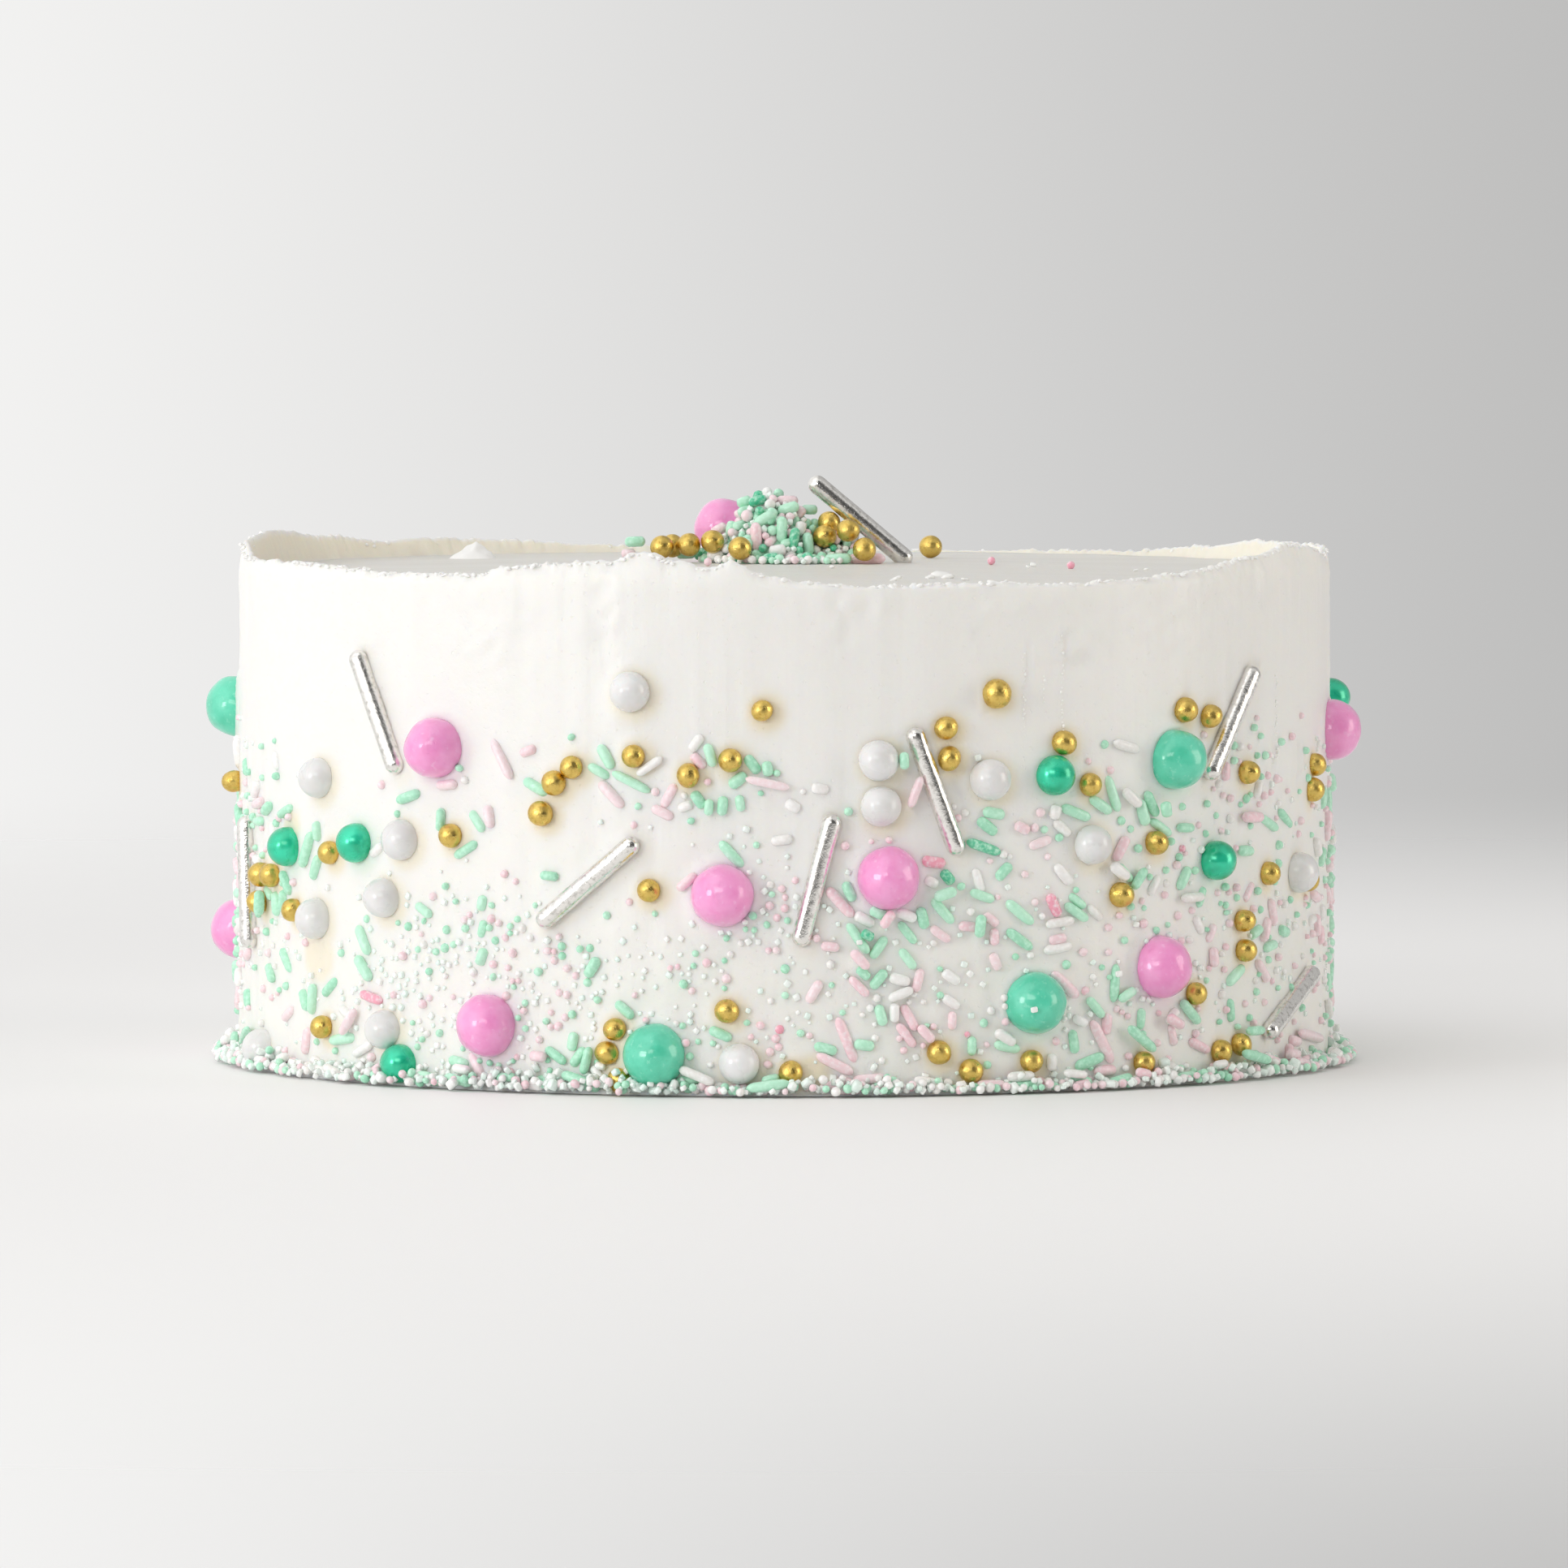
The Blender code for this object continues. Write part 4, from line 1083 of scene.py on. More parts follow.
def sugar_material(name, light, deep, rough=0.34):
    """Pressed sugar in one colour, from light to deep by each grain's own shade."""
    made, nodes, links, shader = new_material(
        name, subsurface_weight=0.2, subsurface_scale=0.0003, specular_ior_level=0.5,
        coat_weight=0.45, coat_roughness=0.10,
    )
    shader.inputs["Subsurface Radius"].default_value = (1.0, 0.8, 0.8)
    shade = nodes.new("ShaderNodeAttribute")
    shade.attribute_name = "shade"
    own = blend_colours(nodes, links, shade.outputs["Fac"], light, deep)
    paler = tuple(min(1.0, c * 1.12 + 0.03) for c in light)
    bloom = speckle(nodes, 1400.0, 4.0, (1, 1, 1), 0.45, 0.8)
    links.new(blend_colours(nodes, links, bloom, own, paler), shader.inputs["Base Color"])
    dull = blend_values(nodes, links, speckle(nodes, 900.0, 3.0), rough - 0.06, rough + 0.12)
    links.new(dull, shader.inputs["Roughness"])
    add_bump(nodes, links, shader, [(speckle(nodes, 1100.0, 3.0), 0.00004)])
    return made


SUGARS = {
    MINT: sugar_material("mint_sugar", (0.56, 0.91, 0.70), (0.03, 0.52, 0.28)),
    PINK: sugar_material("pink_sugar", (0.95, 0.77, 0.80), (0.90, 0.36, 0.48)),
    WHITE: sugar_material("white_sugar", (0.93, 0.92, 0.91), (0.87, 0.85, 0.82)),
}
for sugar, made in lay_jimmies().items():
    scatter(
        sugar + "_jimmies", pill_template(4.0), [m for m, _ in made], [s for _, s in made],
        SUGARS[sugar], ["iced_cake"], lumps=((0.0020, 0.00008),),
    )


# Nonpareils. Tiny sugar balls cling to the lower side where handfuls were pressed on, densest at
# the right, at the far left and towards the foot.
NONPAREILS_SEEN = {
    MINT: (
        (669, 849), (613, 889), (503, 854), (517, 885), (656, 954), (697, 972), (622, 989),
        (560, 1011), (647, 1012), (720, 985), (714, 991), (695, 992), (673, 992), (736, 973),
        (698, 1036), (760, 1019), (727, 1060), (722, 1073), (727, 1083), (507, 1063), (631, 1096),
        (687, 1110), (503, 1106), (769, 823), (830, 886), (941, 876), (878, 900), (1020, 894),
        (937, 923), (829, 955), (935, 1000), (845, 983), (951, 968), (965, 992), (908, 1027),
        (963, 1036), (908, 1052), (963, 1060), (977, 1095), (1103, 1040), (1103, 1064),
        (1252, 836), (1267, 907), (1276, 915), (1294, 960), (1308, 954), (1320, 942), (1383, 885),
        (1384, 914), (1363, 988), (1310, 1005), (1402, 1019), (1390, 1070), (1345, 1058),
        (1410, 1067), (1386, 822), (1392, 830),
    ),
    PINK: (
        (597, 863), (644, 963), (634, 996), (618, 1015), (704, 988), (716, 1015), (721, 1016),
        (747, 1014), (712, 1028), (716, 1040), (721, 1040), (765, 1030), (765, 1054), (711, 1053),
        (726, 1067), (893, 865), (1017, 925), (960, 963), (963, 971), (932, 1097), (948, 1019),
        (955, 1019), (991, 1057), (1024, 1010), (1200, 939), (1351, 879), (1360, 885), (1366, 888),
        (1188, 912), (1366, 976), (1307, 977), (1366, 1005), (1395, 886), (1402, 883), (1418, 882),
        (1255, 1006), (1255, 1029), (1301, 1087), (1300, 1115), (1363, 1086), (1267, 1085),
    ),
    ROSE: ((1323, 934), (1347, 868), (958, 1091), (969, 1121), (1128, 1101), (1168, 1141)),
    WHITE: (
        (673, 860), (1040, 1074), (1046, 1065), (1160, 936), (1166, 938), (1097, 1016),
        (1131, 988), (1140, 991), (1195, 994), (1184, 1030), (1160, 1068), (1160, 1076),
        (872, 877), (1033, 1080),
    ),
}
# Clusters as those of the jimmies
NONPAREIL_CLUSTERS = (
    (-36, 27, 5, 3, 10, 2, 4), (-28, 26, 5, 4, 6, 16, 6), (-40, 17, 7, 6, 12, 8, 6),
    (-20, 18, 6, 5, 10, 10, 6), (-2, 31, 4, 3, 8, 9, 8), (-8, 20, 5, 5, 6, 6, 4),
    (46, 38, 8, 11, 30, 40, 12), (63, 38, 7, 15, 22, 30, 10), (80, 34, 7, 16, 14, 18, 6),
    (-45, 7, 12, 3, 22, 12, 10), (-12, 7, 12, 3, 26, 22, 14), (14, 11, 10, 6, 22, 26, 16),
    (38, 11, 10, 7, 24, 26, 14), (60, 14, 8, 8, 14, 16, 8), (-68, 34, 5, 13, 12, 12, 6),
    (-84, 30, 7, 16, 14, 14, 6), (20, 40, 7, 8, 5, 8, 5), (-6, 50, 8, 6, 3, 3, 3),
    (60, 57, 6, 5, 8, 6, 3), (-100, 32, 8, 17, 24, 24, 10), (104, 34, 8, 17, 24, 24, 10),
)
NONPAREIL_RADII = (0.00050, 0.00082)
NONPAREIL_LIMIT = SPRINKLE_LIMIT + 8
NONPAREIL_LIFT, GRAIN_OVERLAP = 0.0002, 0.0001


def clustered(clusters, kinds, draw):
    """(azimuth, height, kind) of the grains of each cluster."""
    made = []
    for degrees, height, wide, high, *counts in clusters:
        for kind, count in zip(kinds, counts):
            for _ in range(count):
                azimuth = math.radians(draw.gauss(degrees, wide))
                rise = abs(draw.gauss(height, high))
                if rise < NONPAREIL_LIMIT:
                    made.append((azimuth, rise * MILLIMETRE, kind))
    return made


def lay_grains(places, radii, lift, draw):
    """[(placement, shade, kind)] of the grains that find room on the side."""
    made = []
    for azimuth, height, kind in with_twins(places):
        radius = draw.uniform(*radii)
        height = max(height, radius + 0.0002)
        if height > TOP_HEIGHT - CLEAN_BAND:
            continue
        out = wall_swell(azimuth, height) + lift + draw.uniform(-0.3, 0.3) * radius
        middle = spot_at(azimuth, CAKE_RADIUS + out, height)
        if not laid.free(middle, middle, radius, gap=-GRAIN_OVERLAP):
            continue
        laid.add(middle, middle, radius)
        sizes = [radius * draw.uniform(0.9, 1.08) for _ in range(3)]
        twist = draw.uniform(0, math.tau)
        made.append((placement(middle, outward(azimuth), sizes, twist), shade_of(kind, draw), kind))
    return made


def scatter_by_sugar(suffix, template, grains, replaced):
    """One piece for each sugar among (placement, shade, kind) grains."""
    for sugar, material in SUGARS.items():
        own = [grain for grain in grains if KINDS[grain[2]][0] == sugar]
        if own:
            scatter(
                f"{sugar}_{suffix}", template(), [grain[0] for grain in own],
                [grain[1] for grain in own], material, replaced,
            )


draw = random.Random(501)
places = [
    (*seen_on_wall(*pixel), kind) for kind, seen in NONPAREILS_SEEN.items() for pixel in seen
]
places += clustered(NONPAREIL_CLUSTERS, (MINT, PINK, WHITE), draw)
scatter_by_sugar(
    "nonpareils", lambda: ball_template(2),
    lay_grains(places, NONPAREIL_RADII, NONPAREIL_LIFT, draw), ["iced_cake"],
)


# Sugar crystals. Coarse clear sugar, broken and faintly green from the mint sprinkles, lies as a
# sparkling haze over the lower left, and in small drifts elsewhere.
CRYSTAL_CLUSTERS = (
    (-1, 31, 4, 3, 70), (-40, 16, 8, 7, 190), (-24, 18, 7, 7, 120), (-38, 25, 7, 5, 80),
    (42, 14, 10, 8, 70), (62, 30, 9, 18, 60), (12, 18, 9, 9, 70), (26, 30, 8, 6, 30),
    (-68, 26, 8, 16, 50), (-9, 14, 9, 7, 70), (18, 50, 5, 5, 8), (-4, 43, 6, 3, 12),
    (86, 30, 9, 18, 50), (-88, 28, 9, 18, 50),
)
CRYSTAL_RADII, CRYSTAL_LIFT = (0.00035, 0.00075), 0.00005
# Larger chips that stick to candies or lie beside them, as (column, row, radius)
CHIPS_SEEN = (
    (1187, 1080, 0.0008), (1279, 1051, 0.0009), (641, 1115, 0.0008), (1033, 1015, 0.0007),
)
CHIP_STEPS, CHIP_STEP, CHIP_OVERLAP = 14, 0.0005, 0.0006


def crystal_template():
    """A blunt broken block, as coarse sanding sugar is."""
    shape = bmesh.new()
    bmesh.ops.create_cube(shape, size=1.5)
    bmesh.ops.bevel(
        shape, geom=shape.edges[:], offset=0.24, offset_type="OFFSET", segments=1,
        profile=0.5, affect="EDGES", material=-1,
    )
    bmesh.ops.triangulate(shape, faces=shape.faces[:])
    return shape


def crystal_material(name, clear, tinted):
    """Clear sugar: piled up it looks white, and its broken faces catch small glints."""
    made, nodes, links, shader = new_material(
        name, roughness=0.16, specular_ior_level=0.6, coat_weight=0.6, coat_roughness=0.05,
    )
    shade = nodes.new("ShaderNodeAttribute")
    shade.attribute_name = "shade"
    colour = blend_colours(nodes, links, shade.outputs["Fac"], clear, tinted)
    links.new(colour, shader.inputs["Base Color"])
    add_bump(nodes, links, shader, [(speckle(nodes, 1800.0, 3.0), 0.00004)])
    return made


CLEAR_SUGAR = crystal_material("clear_sugar", (0.985, 0.98, 0.965), (0.82, 0.965, 0.90))


def scatter_crystals(name, grains, replaced):
    scatter(
        name, crystal_template(), [grain[0] for grain in grains],
        [grain[1] for grain in grains], CLEAR_SUGAR, replaced,
    )


draw = random.Random(502)
places = clustered(CRYSTAL_CLUSTERS, (WHITE,), draw)
crystals = lay_grains(places, CRYSTAL_RADII, CRYSTAL_LIFT, draw)


def laid_chips(draw):
    made = []
    for column, row, radius in CHIPS_SEEN:
        azimuth, height = seen_on_wall(column, row, BALL_RADIUS)
        for step in range(CHIP_STEPS):
            middle = spot_at(azimuth, CAKE_RADIUS + 0.0002 + step * CHIP_STEP, height)
            if laid.free(middle, middle, radius, gap=-CHIP_OVERLAP):
                break
        sizes = (radius, radius * 0.8, radius * 0.45)
        made.append((placement(middle, outward(azimuth), sizes, draw.uniform(0, 1)), 0.2, WHITE))
    return made


crystals += laid_chips(draw)
scatter_crystals("sugar_crystals", crystals, ["iced_cake"])


# The foot ring. What fell while the side was pressed gathers round the foot as a low drift of
# nonpareils, crystals and lying jimmies, a few millimetres high and deep.
FOOT_JIMMIES, FOOT_NONPAREILS, FOOT_CRYSTALS = 230, 1150, 3200
FOOT_RISE = 0.0040
FOOT_BALL_RADII, FOOT_BALL_OVERLAP = (0.00058, 0.00090), 0.00012
FOOT_SUGAR_RADII, FOOT_SUGAR_OVERLAP = (0.00055, 0.00110), 0.0005
# The drift reaches this far out at the floor and less higher up, and grains are tried in steps
FOOT_REACH, FOOT_SLOPE, FOOT_STEPS, FOOT_STEP = 0.0050, 0.6, 12, 0.00045


def lay_at_foot(count, radii, draw, overlap):
    """Grains dropped by the wall's foot, each pushed out from the wall until it finds room."""
    made = []
    for _ in range(count):
        azimuth = draw.uniform(-math.pi, math.pi)
        radius = draw.uniform(*radii)
        drift = 0.5 + 0.9 * noise.noise(outward(azimuth) * 7.0)
        height = radius + 0.0001 + abs(draw.gauss(0, 0.42)) * FOOT_RISE * max(drift, 0.25)
        for step in range(FOOT_STEPS):
            out = 0.0002 + step * FOOT_STEP
            if out > FOOT_REACH - height * FOOT_SLOPE:
                break
            middle = spot_at(azimuth, CAKE_RADIUS + wall_swell(azimuth, height) + out, height)
            if laid.free(middle, middle, radius, gap=-overlap):
                laid.add(middle, middle, radius)
                made.append((middle, azimuth, radius))
                break
    return made


def any_way(draw):
    return Vector([draw.uniform(-1, 1) for _ in range(3)]).normalized()


def foot_grains(count, radii, kinds, draw, overlap, evenness):
    made = []
    for middle, azimuth, radius in lay_at_foot(count, radii, draw, overlap):
        kind = draw.choice(kinds)
        sizes = [radius * draw.uniform(*evenness) for _ in range(3)]
        way = any_way(draw)
        twist = draw.uniform(0, math.tau)
        made.append((placement(middle, way, sizes, twist), shade_of(kind, draw), kind))
    return made


def foot_jimmies(draw):
    made = []
    for _ in range(FOOT_JIMMIES):
        azimuth = draw.uniform(-math.pi, math.pi)
        radius = JIMMY_RADIUS * draw.uniform(0.85, 1.05)
        tilt = math.pi / 2 + draw.gauss(0, 0.22)
        height = radius + abs(draw.gauss(0, 0.0012))
        length = draw.uniform(*JIMMY_LENGTHS)
        matrix = lay_stick(azimuth, height, tilt, length, radius, 5, draw)
        if matrix:
            kind = draw.choice((MINT, MINT, PINK, PINK, WHITE, WHITE))
            made.append((matrix, shade_of(kind, draw), kind))
    return made


draw = random.Random(610)
scatter_by_sugar("foot_jimmies", lambda: pill_template(4.0), foot_jimmies(draw), ["iced_cake"])
MIXED = (MINT, MINT, PINK, PINK, PINK, WHITE, WHITE)
foot_balls = foot_grains(
    FOOT_NONPAREILS, FOOT_BALL_RADII, MIXED, draw, FOOT_BALL_OVERLAP, (0.85, 1.1),
)
scatter_by_sugar("foot_nonpareils", lambda: ball_template(2), foot_balls, ["iced_cake"])
foot_sugar = foot_grains(
    FOOT_CRYSTALS, FOOT_SUGAR_RADII, (WHITE,), draw, FOOT_SUGAR_OVERLAP, (0.6, 1.25),
)
scatter_crystals("foot_crystals", foot_sugar, ["iced_cake"])


# The heap. A spoonful of the same sprinkles was tipped on the top, a little left of its middle, and
# lies as a steep mound with an apron round it. A candy ball stands behind it, gold beads lie in
# it, and a rod leans on them.
# Each mound as (middle, reach, rise)
HEAP_MOUNDS = (
    (Vector((-0.0024, 0.0080)), 0.0106, 0.0122), (Vector((0.0085, 0.0085)), 0.0066, 0.0060),
    (Vector((-0.0100, 0.0070)), 0.0050, 0.0028), (Vector((0.0005, 0.0075)), 0.0142, 0.0014),
)
HEAP_GOLD_SEEN = (
    (851, 653), (861, 652), (876, 651), (897, 648), (922, 654), (1003, 631), (999, 643),
    (1020, 638), (1035, 655),
)
HEAP_GOLD_DEPTHS = (0.004, 0.007, 0.004, 0.003, -0.004, 0.006, 0.004, 0.001, -0.002)
HEAP_JIMMIES_SEEN = {
    MINT: (
        (960, 637, 2, 24), (984, 650, -6, 21), (1011, 664, 88, 25), (873, 659, 88, 18),
        (966, 618, 72, 20), (985, 619, -88, 15), (827, 648, 88, 19), (950, 625, 20, 16),
        (914, 636, 10, 14), (945, 627, 60, 22), (926, 612, 70, 14), (989, 634, 20, 14),
    ),
    DEEP_MINT: ((950, 663, 85, 15), (971, 646, 10, 22), (938, 611, 72, 17), (886, 659, 80, 12)),
    PINK: (
        (937, 644, -4, 27), (902, 648, 90, 22), (1037, 665, 90, 34), (965, 611, 90, 20),
        (1010, 644, 30, 14), (821, 659, 88, 13), (903, 637, 60, 16), (976, 622, 40, 13),
    ),
    WHITE: ((1025, 647, 8, 17), (900, 660, 85, 16), (977, 636, 8, 13), (956, 656, 80, 16)),
}
STRAY_NONPAREILS_SEEN = (
    (1150, 669, ROSE), (1222, 673, ROSE), (893, 670, PINK), (993, 666, MINT),
)
# As (column, row, radius)
STRAY_CRYSTALS_SEEN = (
    (1188, 671, 0.0008), (1072, 667, 0.0008), (936, 662, 0.0012), (1183, 672, 0.0005),
)
LONE_GOLD_SEEN = (1095, 663)
HEAP_CREST_DEPTH = 0.0080
# The heap's middle on the top, how far from it things are dropped, and its core's half width
HEAP_MIDDLE, HEAP_REACH, CORE_HALF_WIDTH = (-0.0012, 0.0078), 0.0165, 0.0185
# How deep the loose outside is, how far the core lies under it, and a dropped piece's step up
LOOSE_DEPTH, CORE_DEPTH, RISE_STEP = 0.0032, 0.0016, 0.0004
# The size of one of the photograph's pixels at the heap
HEAP_PIXEL, STRAY_RADIUS = 0.000197, 0.00075
HEAP_JIMMIES, HEAP_NONPAREILS, HEAP_CRYSTALS = 240, 750, 1500
HEAP_JIMMY_LENGTHS, HEAP_OVERLAP = (0.0028, 0.0050), 0.00025
HEAP_BALL_RADII, HEAP_SUGAR_RADII = (0.00070, 0.00112), (0.00055, 0.00105)
CORE_RUFFLE, CORE_SINK = 0.0006, 0.0006


def heap_height(x, y):
    """How high the heap stands above the top at a place."""
    tallest = 0.0
    for middle, reach, rise in HEAP_MOUNDS:
        share = (Vector((x, y)) - middle).length / reach
        if share < 1:
            tallest = max(tallest, rise * (1 - share**1.7))
    return tallest


def seen_at_depth(column, row, y):
    """The (x, height) that the photograph shows at a pixel, this far along Y."""
    scale = (y - EYE.y) / FOCAL_PIXELS
    return (column - MIDDLE_COLUMN) * scale, EYE.z - (row - HORIZON_ROW) * scale


def seen_on_heap(column, row):
    """The point of the heap's face, or of the top beside it, that the photograph shows."""
    for step in range(200):
        y = -0.014 + step * 0.0002
        x, height = seen_at_depth(column, row, y)
        if height - top_level(x, y) < heap_height(x, y) + 0.0006:
            return Vector((x, y, max(height, top_level(x, y) + 0.0009)))
    x, height = seen_at_depth(column, row, HEAP_CREST_DEPTH)
    return Vector((x, HEAP_CREST_DEPTH, max(height, top_level(x, HEAP_CREST_DEPTH) + 0.0009)))


def heap_gold():
    made = []
    for (column, row), y in zip(HEAP_GOLD_SEEN, HEAP_GOLD_DEPTHS):
        x, height = seen_at_depth(column, row, y)
        made.append(Vector((x, y, max(height, TOP_HEIGHT + FIT_GAP + GOLD_RADIUS))))
    made.append(seen_on_top(*LONE_GOLD_SEEN) + Vector((0, 0, GOLD_RADIUS)))
    for middle in made:
        laid.add(middle, middle, GOLD_RADIUS)
    return [placement(middle, Vector((0, 0, 1)), [GOLD_RADIUS] * 3) for middle in made]


def drop(half, radius, draw, roomy):
    """Drops a piece on the heap: it rises from the core until it is free, or is left out."""
    for _ in range(3):
        azimuth, reach = draw.uniform(0, math.tau), math.sqrt(draw.random()) * HEAP_REACH
        x = math.sin(azimuth) * reach + HEAP_MIDDLE[0]
        y = math.cos(azimuth) * reach + HEAP_MIDDLE[1]
        limit = heap_height(x, y)
        if limit <= 0:
            continue
        height = max(limit - LOOSE_DEPTH, 0.0) + radius
        while height < limit + roomy:
            middle = Vector((x, y, top_level(x, y) + height))
            ends = middle - half, middle + half
            lying = min(end.z for end in ends) > top_level(x, y) + radius * 0.9
            if lying and laid.free(*ends, radius, gap=-HEAP_OVERLAP):
                laid.add(*ends, radius)
                return middle
            height += RISE_STEP
    return None


def heap_sticks(draw):
    made = []
    for kind, seen in HEAP_JIMMIES_SEEN.items():
        for column, row, tilt, length in seen:
            middle = seen_on_heap(column, row)
            direction = along_wall(0.0, math.radians(tilt)).normalized()
            length, radius = length * HEAP_PIXEL, JIMMY_RADIUS * draw.uniform(0.95, 1.12)
            half = direction * (length / 2 - radius)
            laid.add(middle - half, middle + half, radius)
            size = (radius, radius, length / 4)
            made.append((placement(middle, direction, size), shade_of(kind, draw), kind))
    for _ in range(HEAP_JIMMIES):
        flat = draw.uniform(-0.6, 0.6)
        direction = Vector((draw.uniform(-1, 1), draw.uniform(-1, 1), flat)).normalized()
        length, radius = draw.uniform(*HEAP_JIMMY_LENGTHS), JIMMY_RADIUS * draw.uniform(0.85, 1.1)
        middle = drop(direction * (length / 2 - radius), radius, draw, 0.0002)
        if middle:
            kind = draw.choice((MINT, MINT, MINT, DEEP_MINT, PINK, WHITE))
            size = (radius, radius, length / 4)
            made.append((placement(middle, direction, size), shade_of(kind, draw), kind))
    return made


def heap_grains(count, radii, kinds, draw):
    made = []
    for _ in range(count):
        radius = draw.uniform(*radii)
        middle = drop(Vector((0, 0, 0)), radius, draw, 0.0007)
        if middle:
            kind = draw.choice(kinds)
            way = any_way(draw)
            sizes = [radius * draw.uniform(0.85, 1.1) for _ in range(3)]
            made.append((placement(middle, way, sizes), shade_of(kind, draw), kind))
    return made


def heap_core_shape():
    """What fills the heap under its loose outside: a lumpy mound a little lower than it."""
    shape = bmesh.new()
    bmesh.ops.create_grid(shape, x_segments=60, y_segments=60, size=CORE_HALF_WIDTH)
    for vertex in shape.verts:
        x, y = vertex.co.x + HEAP_MIDDLE[0], vertex.co.y + HEAP_MIDDLE[1]
        ruffle = noise.noise(Vector((x, y, 0)) / 0.0014) * CORE_RUFFLE
        rise = max(heap_height(x, y) - CORE_DEPTH, 0.0)
        level = top_level(x, y) - CORE_SINK
        vertex.co = Vector((x, y, level + rise + (ruffle if rise > 0 else 0.0)))
    low = [
        face for face in shape.faces
        if all(v.co.z < top_level(v.co.x, v.co.y) - 0.0004 for v in face.verts)
    ]
    bmesh.ops.delete(shape, geom=low, context="FACES")
    return shape


draw = random.Random(711)
gold = heap_gold()
scatter(
    "heap_gold", ball_template(4), gold, [0.5] * len(gold), GOLD_LEAF, ["sprinkle_heap"],
    lumps=BEAD_LUMPS,
)
scatter_by_sugar("heap_jimmies", lambda: pill_template(4.0), heap_sticks(draw), ["sprinkle_heap"])
MINTY = (MINT, MINT, MINT, MINT, DEEP_MINT, PINK, PINK, WHITE, WHITE, WHITE)
loose = heap_grains(HEAP_NONPAREILS, HEAP_BALL_RADII, MINTY, draw)
for column, row, kind in STRAY_NONPAREILS_SEEN:
    middle = seen_on_top(column, row) + Vector((0, 0, 0.0007))
    loose.append((placement(middle, Vector((0, 0, 1)), [STRAY_RADIUS] * 3), shade_of(kind, draw), kind))
scatter_by_sugar("heap_nonpareils", lambda: ball_template(2), loose, ["sprinkle_heap"])
loose = heap_grains(HEAP_CRYSTALS, HEAP_SUGAR_RADII, (WHITE,), draw)
for column, row, radius in STRAY_CRYSTALS_SEEN:
    middle = seen_on_top(column, row) + Vector((0, 0, radius * 0.5))
    sizes = (radius, radius * 0.7, radius * 0.6)
    loose.append((placement(middle, Vector((0.3, 0.1, 1)).normalized(), sizes), 0.1, WHITE))
scatter_crystals("heap_crystals", loose, ["sprinkle_heap"])
new_piece("heap_core", heap_core_shape(), SUGARS[MINT], ["sprinkle_heap"])


# The photograph's view. A long lens looks a little down on the cake from 2.4 m away. The frame is
# drawn closer than the photograph's, round the cake alone.
SENSOR_WIDTH, FRAME_PIXELS = 36.0, 1932
CLOSER, AIM_ROW = 1.36, 868


def add_camera():
    data = bpy.data.cameras.new("camera")
    data.sensor_width = SENSOR_WIDTH
    data.lens = FOCAL_PIXELS / FRAME_PIXELS * SENSOR_WIDTH * CLOSER
    data.clip_start, data.clip_end = 0.05, 60.0
    camera = bpy.data.objects.new("camera", data)
    camera.location = EYE
    camera.rotation_euler.x = math.pi / 2 - math.atan((AIM_ROW - HORIZON_ROW) / FOCAL_PIXELS)
    bpy.context.scene.collection.objects.link(camera)
    bpy.context.scene.camera = camera


add_camera()


# The light. A soft window at the left, a skylight behind the camera and a warm lamp at the right
# light a room that is bright on the left, dimmer on the right and dark round the camera, which
# shows in the leaf. The floor is pale.
LIGHT_AIM = Vector((0, 0, 0.05))


def add_light(name, place, size, power, colour):
    data = bpy.data.lights.new(name, "AREA")
    data.shape = "RECTANGLE"
    data.size, data.size_y = size
    data.energy = power
    data.color = colour
    light = bpy.data.objects.new(name, data)
    light.location = place
    light.rotation_euler = (LIGHT_AIM - Vector(place)).to_track_quat("-Z", "Y").to_euler()
    light.visible_camera = False
    bpy.context.scene.collection.objects.link(light)


add_light("window", (-1.40, -1.30, 0.40), (0.5, 0.5), 6.0, (0.985, 0.99, 1.0))
add_light("skylight", (-0.62, -2.1, 0.90), (1.1, 0.6), 8.1, (1.0, 0.985, 0.955))
add_light("lamp", (1.75, -0.36, 0.42), (0.8, 1.1), 8.0, (1.0, 0.94, 0.84))

ROOM_BRIGHTNESS = 0.94
# Each part of the room as (direction, cosines where it begins and ends, brightness at each)
ROOM_PARTS = (
    ((0, 0, 1), (0.05, 0.9), (1.0, 1.06)),
    ((0, -1, 0), (-0.3, 0.4), (1.0, 1.45)),
    ((0.22, -0.975, 0.0), (0.58, 0.68), (1.0, 0.12)),
    ((1, 0, 0), (-0.10, 0.10), (1.0, 0.50)),
)


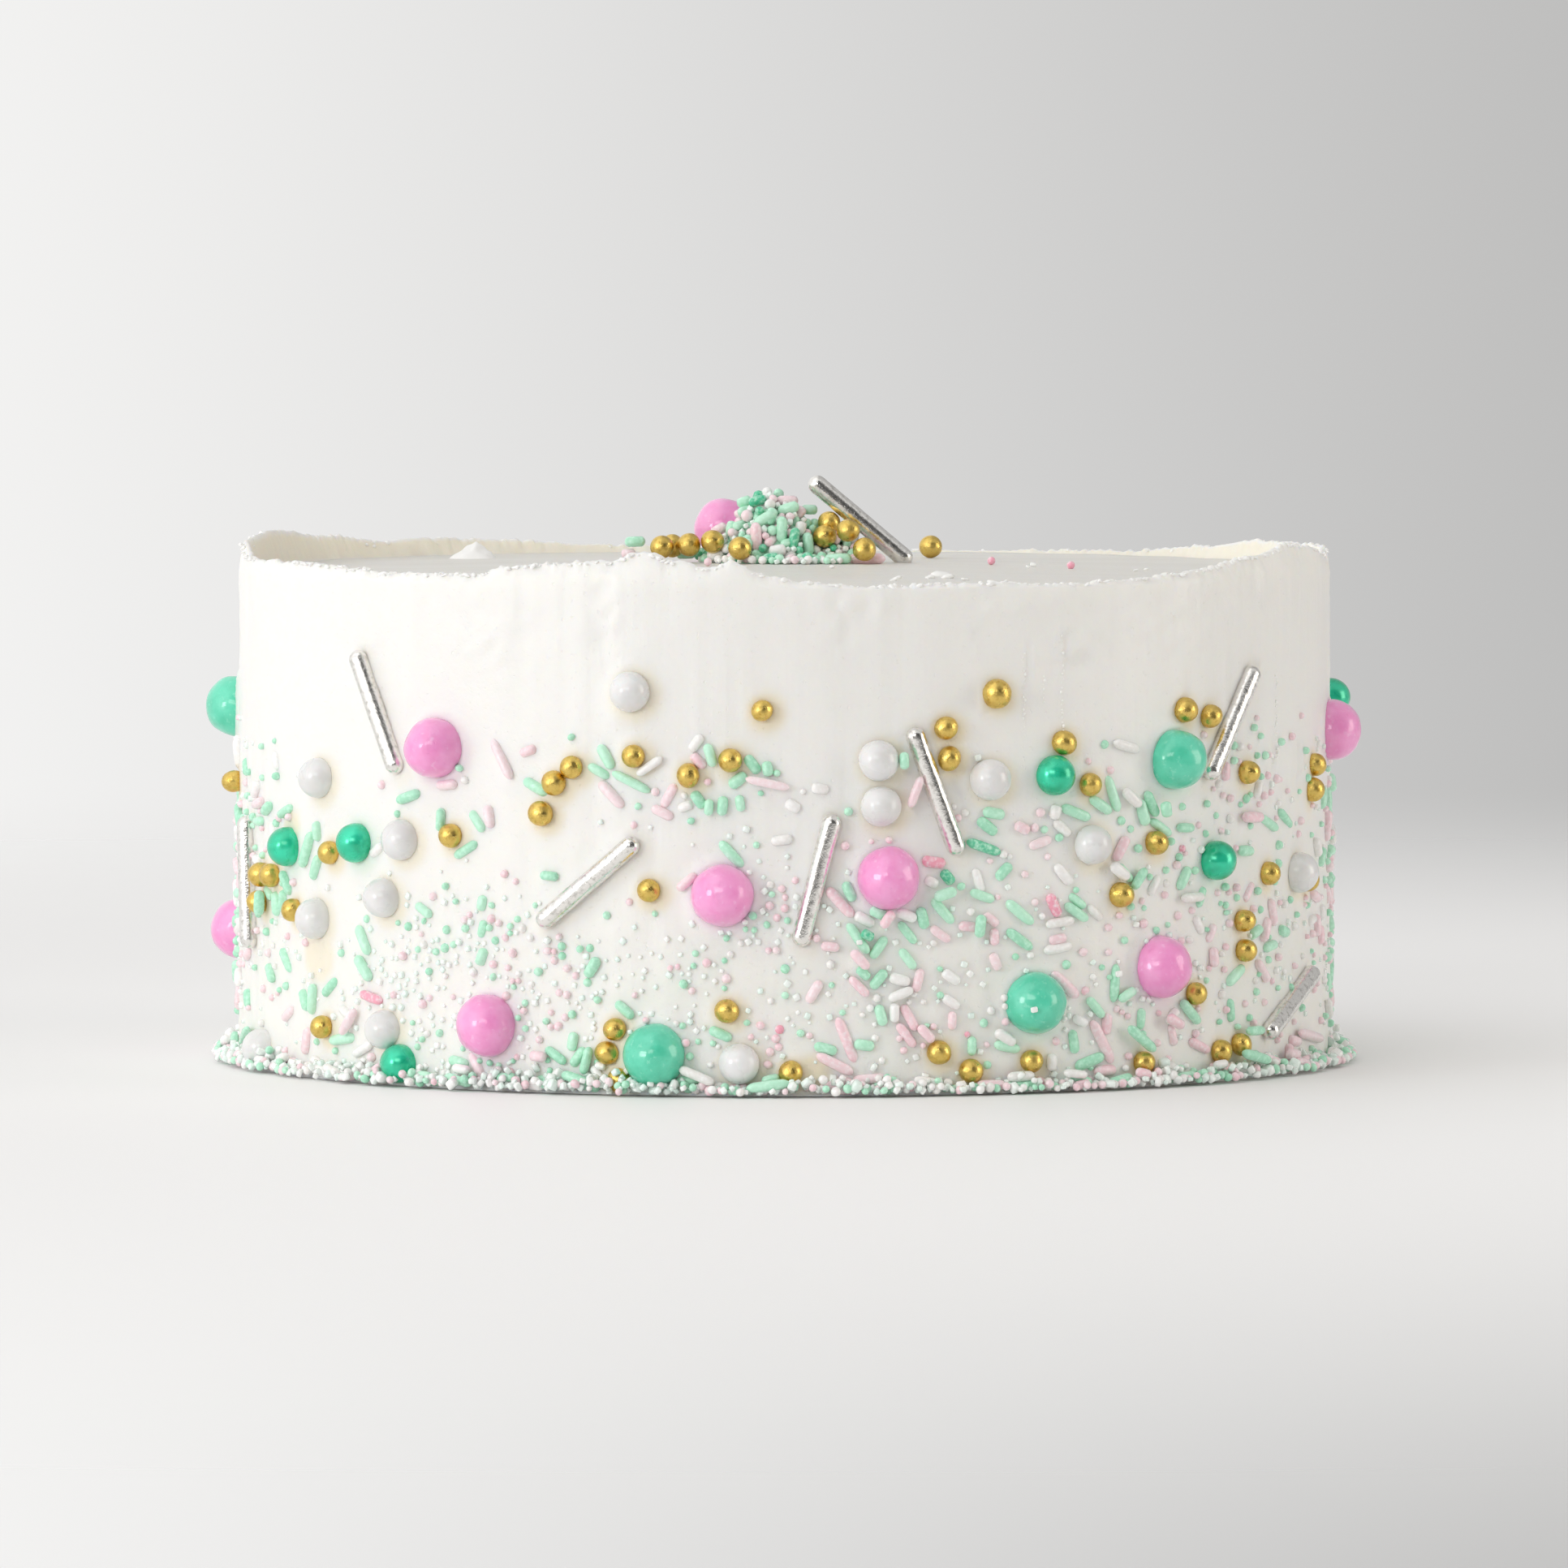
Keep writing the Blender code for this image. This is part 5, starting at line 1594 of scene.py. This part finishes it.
def room_light():
    world = bpy.data.worlds.new("room")
    bpy.context.scene.world = world
    world.use_nodes = True
    nodes, links = world.node_tree.nodes, world.node_tree.links
    place = nodes.new("ShaderNodeTexCoord")
    brightness = nodes.new("ShaderNodeValue")
    brightness.outputs[0].default_value = ROOM_BRIGHTNESS
    product = brightness.outputs[0]
    for direction, cosines, levels in ROOM_PARTS:
        toward = nodes.new("ShaderNodeVectorMath")
        toward.operation = "DOT_PRODUCT"
        toward.inputs[1].default_value = direction
        links.new(place.outputs["Generated"], toward.inputs[0])
        spread = nodes.new("ShaderNodeMapRange")
        spread.interpolation_type = "SMOOTHSTEP"
        links.new(toward.outputs["Value"], spread.inputs["Value"])
        for label, value in zip(("From Min", "From Max", "To Min", "To Max"), cosines + levels):
            spread.inputs[label].default_value = value
        multiply = nodes.new("ShaderNodeMath")
        multiply.operation = "MULTIPLY"
        links.new(product, multiply.inputs[0])
        links.new(spread.outputs["Result"], multiply.inputs[1])
        product = multiply.outputs["Value"]
    background = nodes["Background"]
    background.inputs["Color"].default_value = (1.0, 0.995, 0.985, 1.0)
    links.new(product, background.inputs["Strength"])


room_light()
FLOOR_RADIUS, FLOOR_FADE = 1.1, (0.20, 1.0)


def add_floor():
    """A pale round floor that fades out towards its edge."""
    shape = bmesh.new()
    bmesh.ops.create_circle(shape, cap_ends=True, segments=96, radius=FLOOR_RADIUS)
    bmesh.ops.translate(shape, vec=(0, 0, -0.0002), verts=shape.verts)
    mesh = bpy.data.meshes.new("floor")
    shape.to_mesh(mesh)
    shape.free()
    made, nodes, links, shader = new_material("pale_floor", roughness=0.55, specular_ior_level=0.3)
    shader.inputs["Base Color"].default_value = (0.93, 0.925, 0.925, 1.0)
    place = nodes.new("ShaderNodeTexCoord")
    reach = nodes.new("ShaderNodeVectorMath")
    reach.operation = "LENGTH"
    links.new(place.outputs["Object"], reach.inputs[0])
    fade = nodes.new("ShaderNodeMapRange")
    fade.interpolation_type = "SMOOTHSTEP"
    links.new(reach.outputs["Value"], fade.inputs["Value"])
    fade.inputs["From Min"].default_value, fade.inputs["From Max"].default_value = FLOOR_FADE
    fade.inputs["To Min"].default_value, fade.inputs["To Max"].default_value = 1.0, 0.0
    links.new(fade.outputs["Result"], shader.inputs["Alpha"])
    mesh.materials.append(made)
    floor = bpy.data.objects.new("floor", mesh)
    bpy.context.scene.collection.objects.link(floor)


add_floor()
bpy.context.scene.view_settings.view_transform = "Standard"
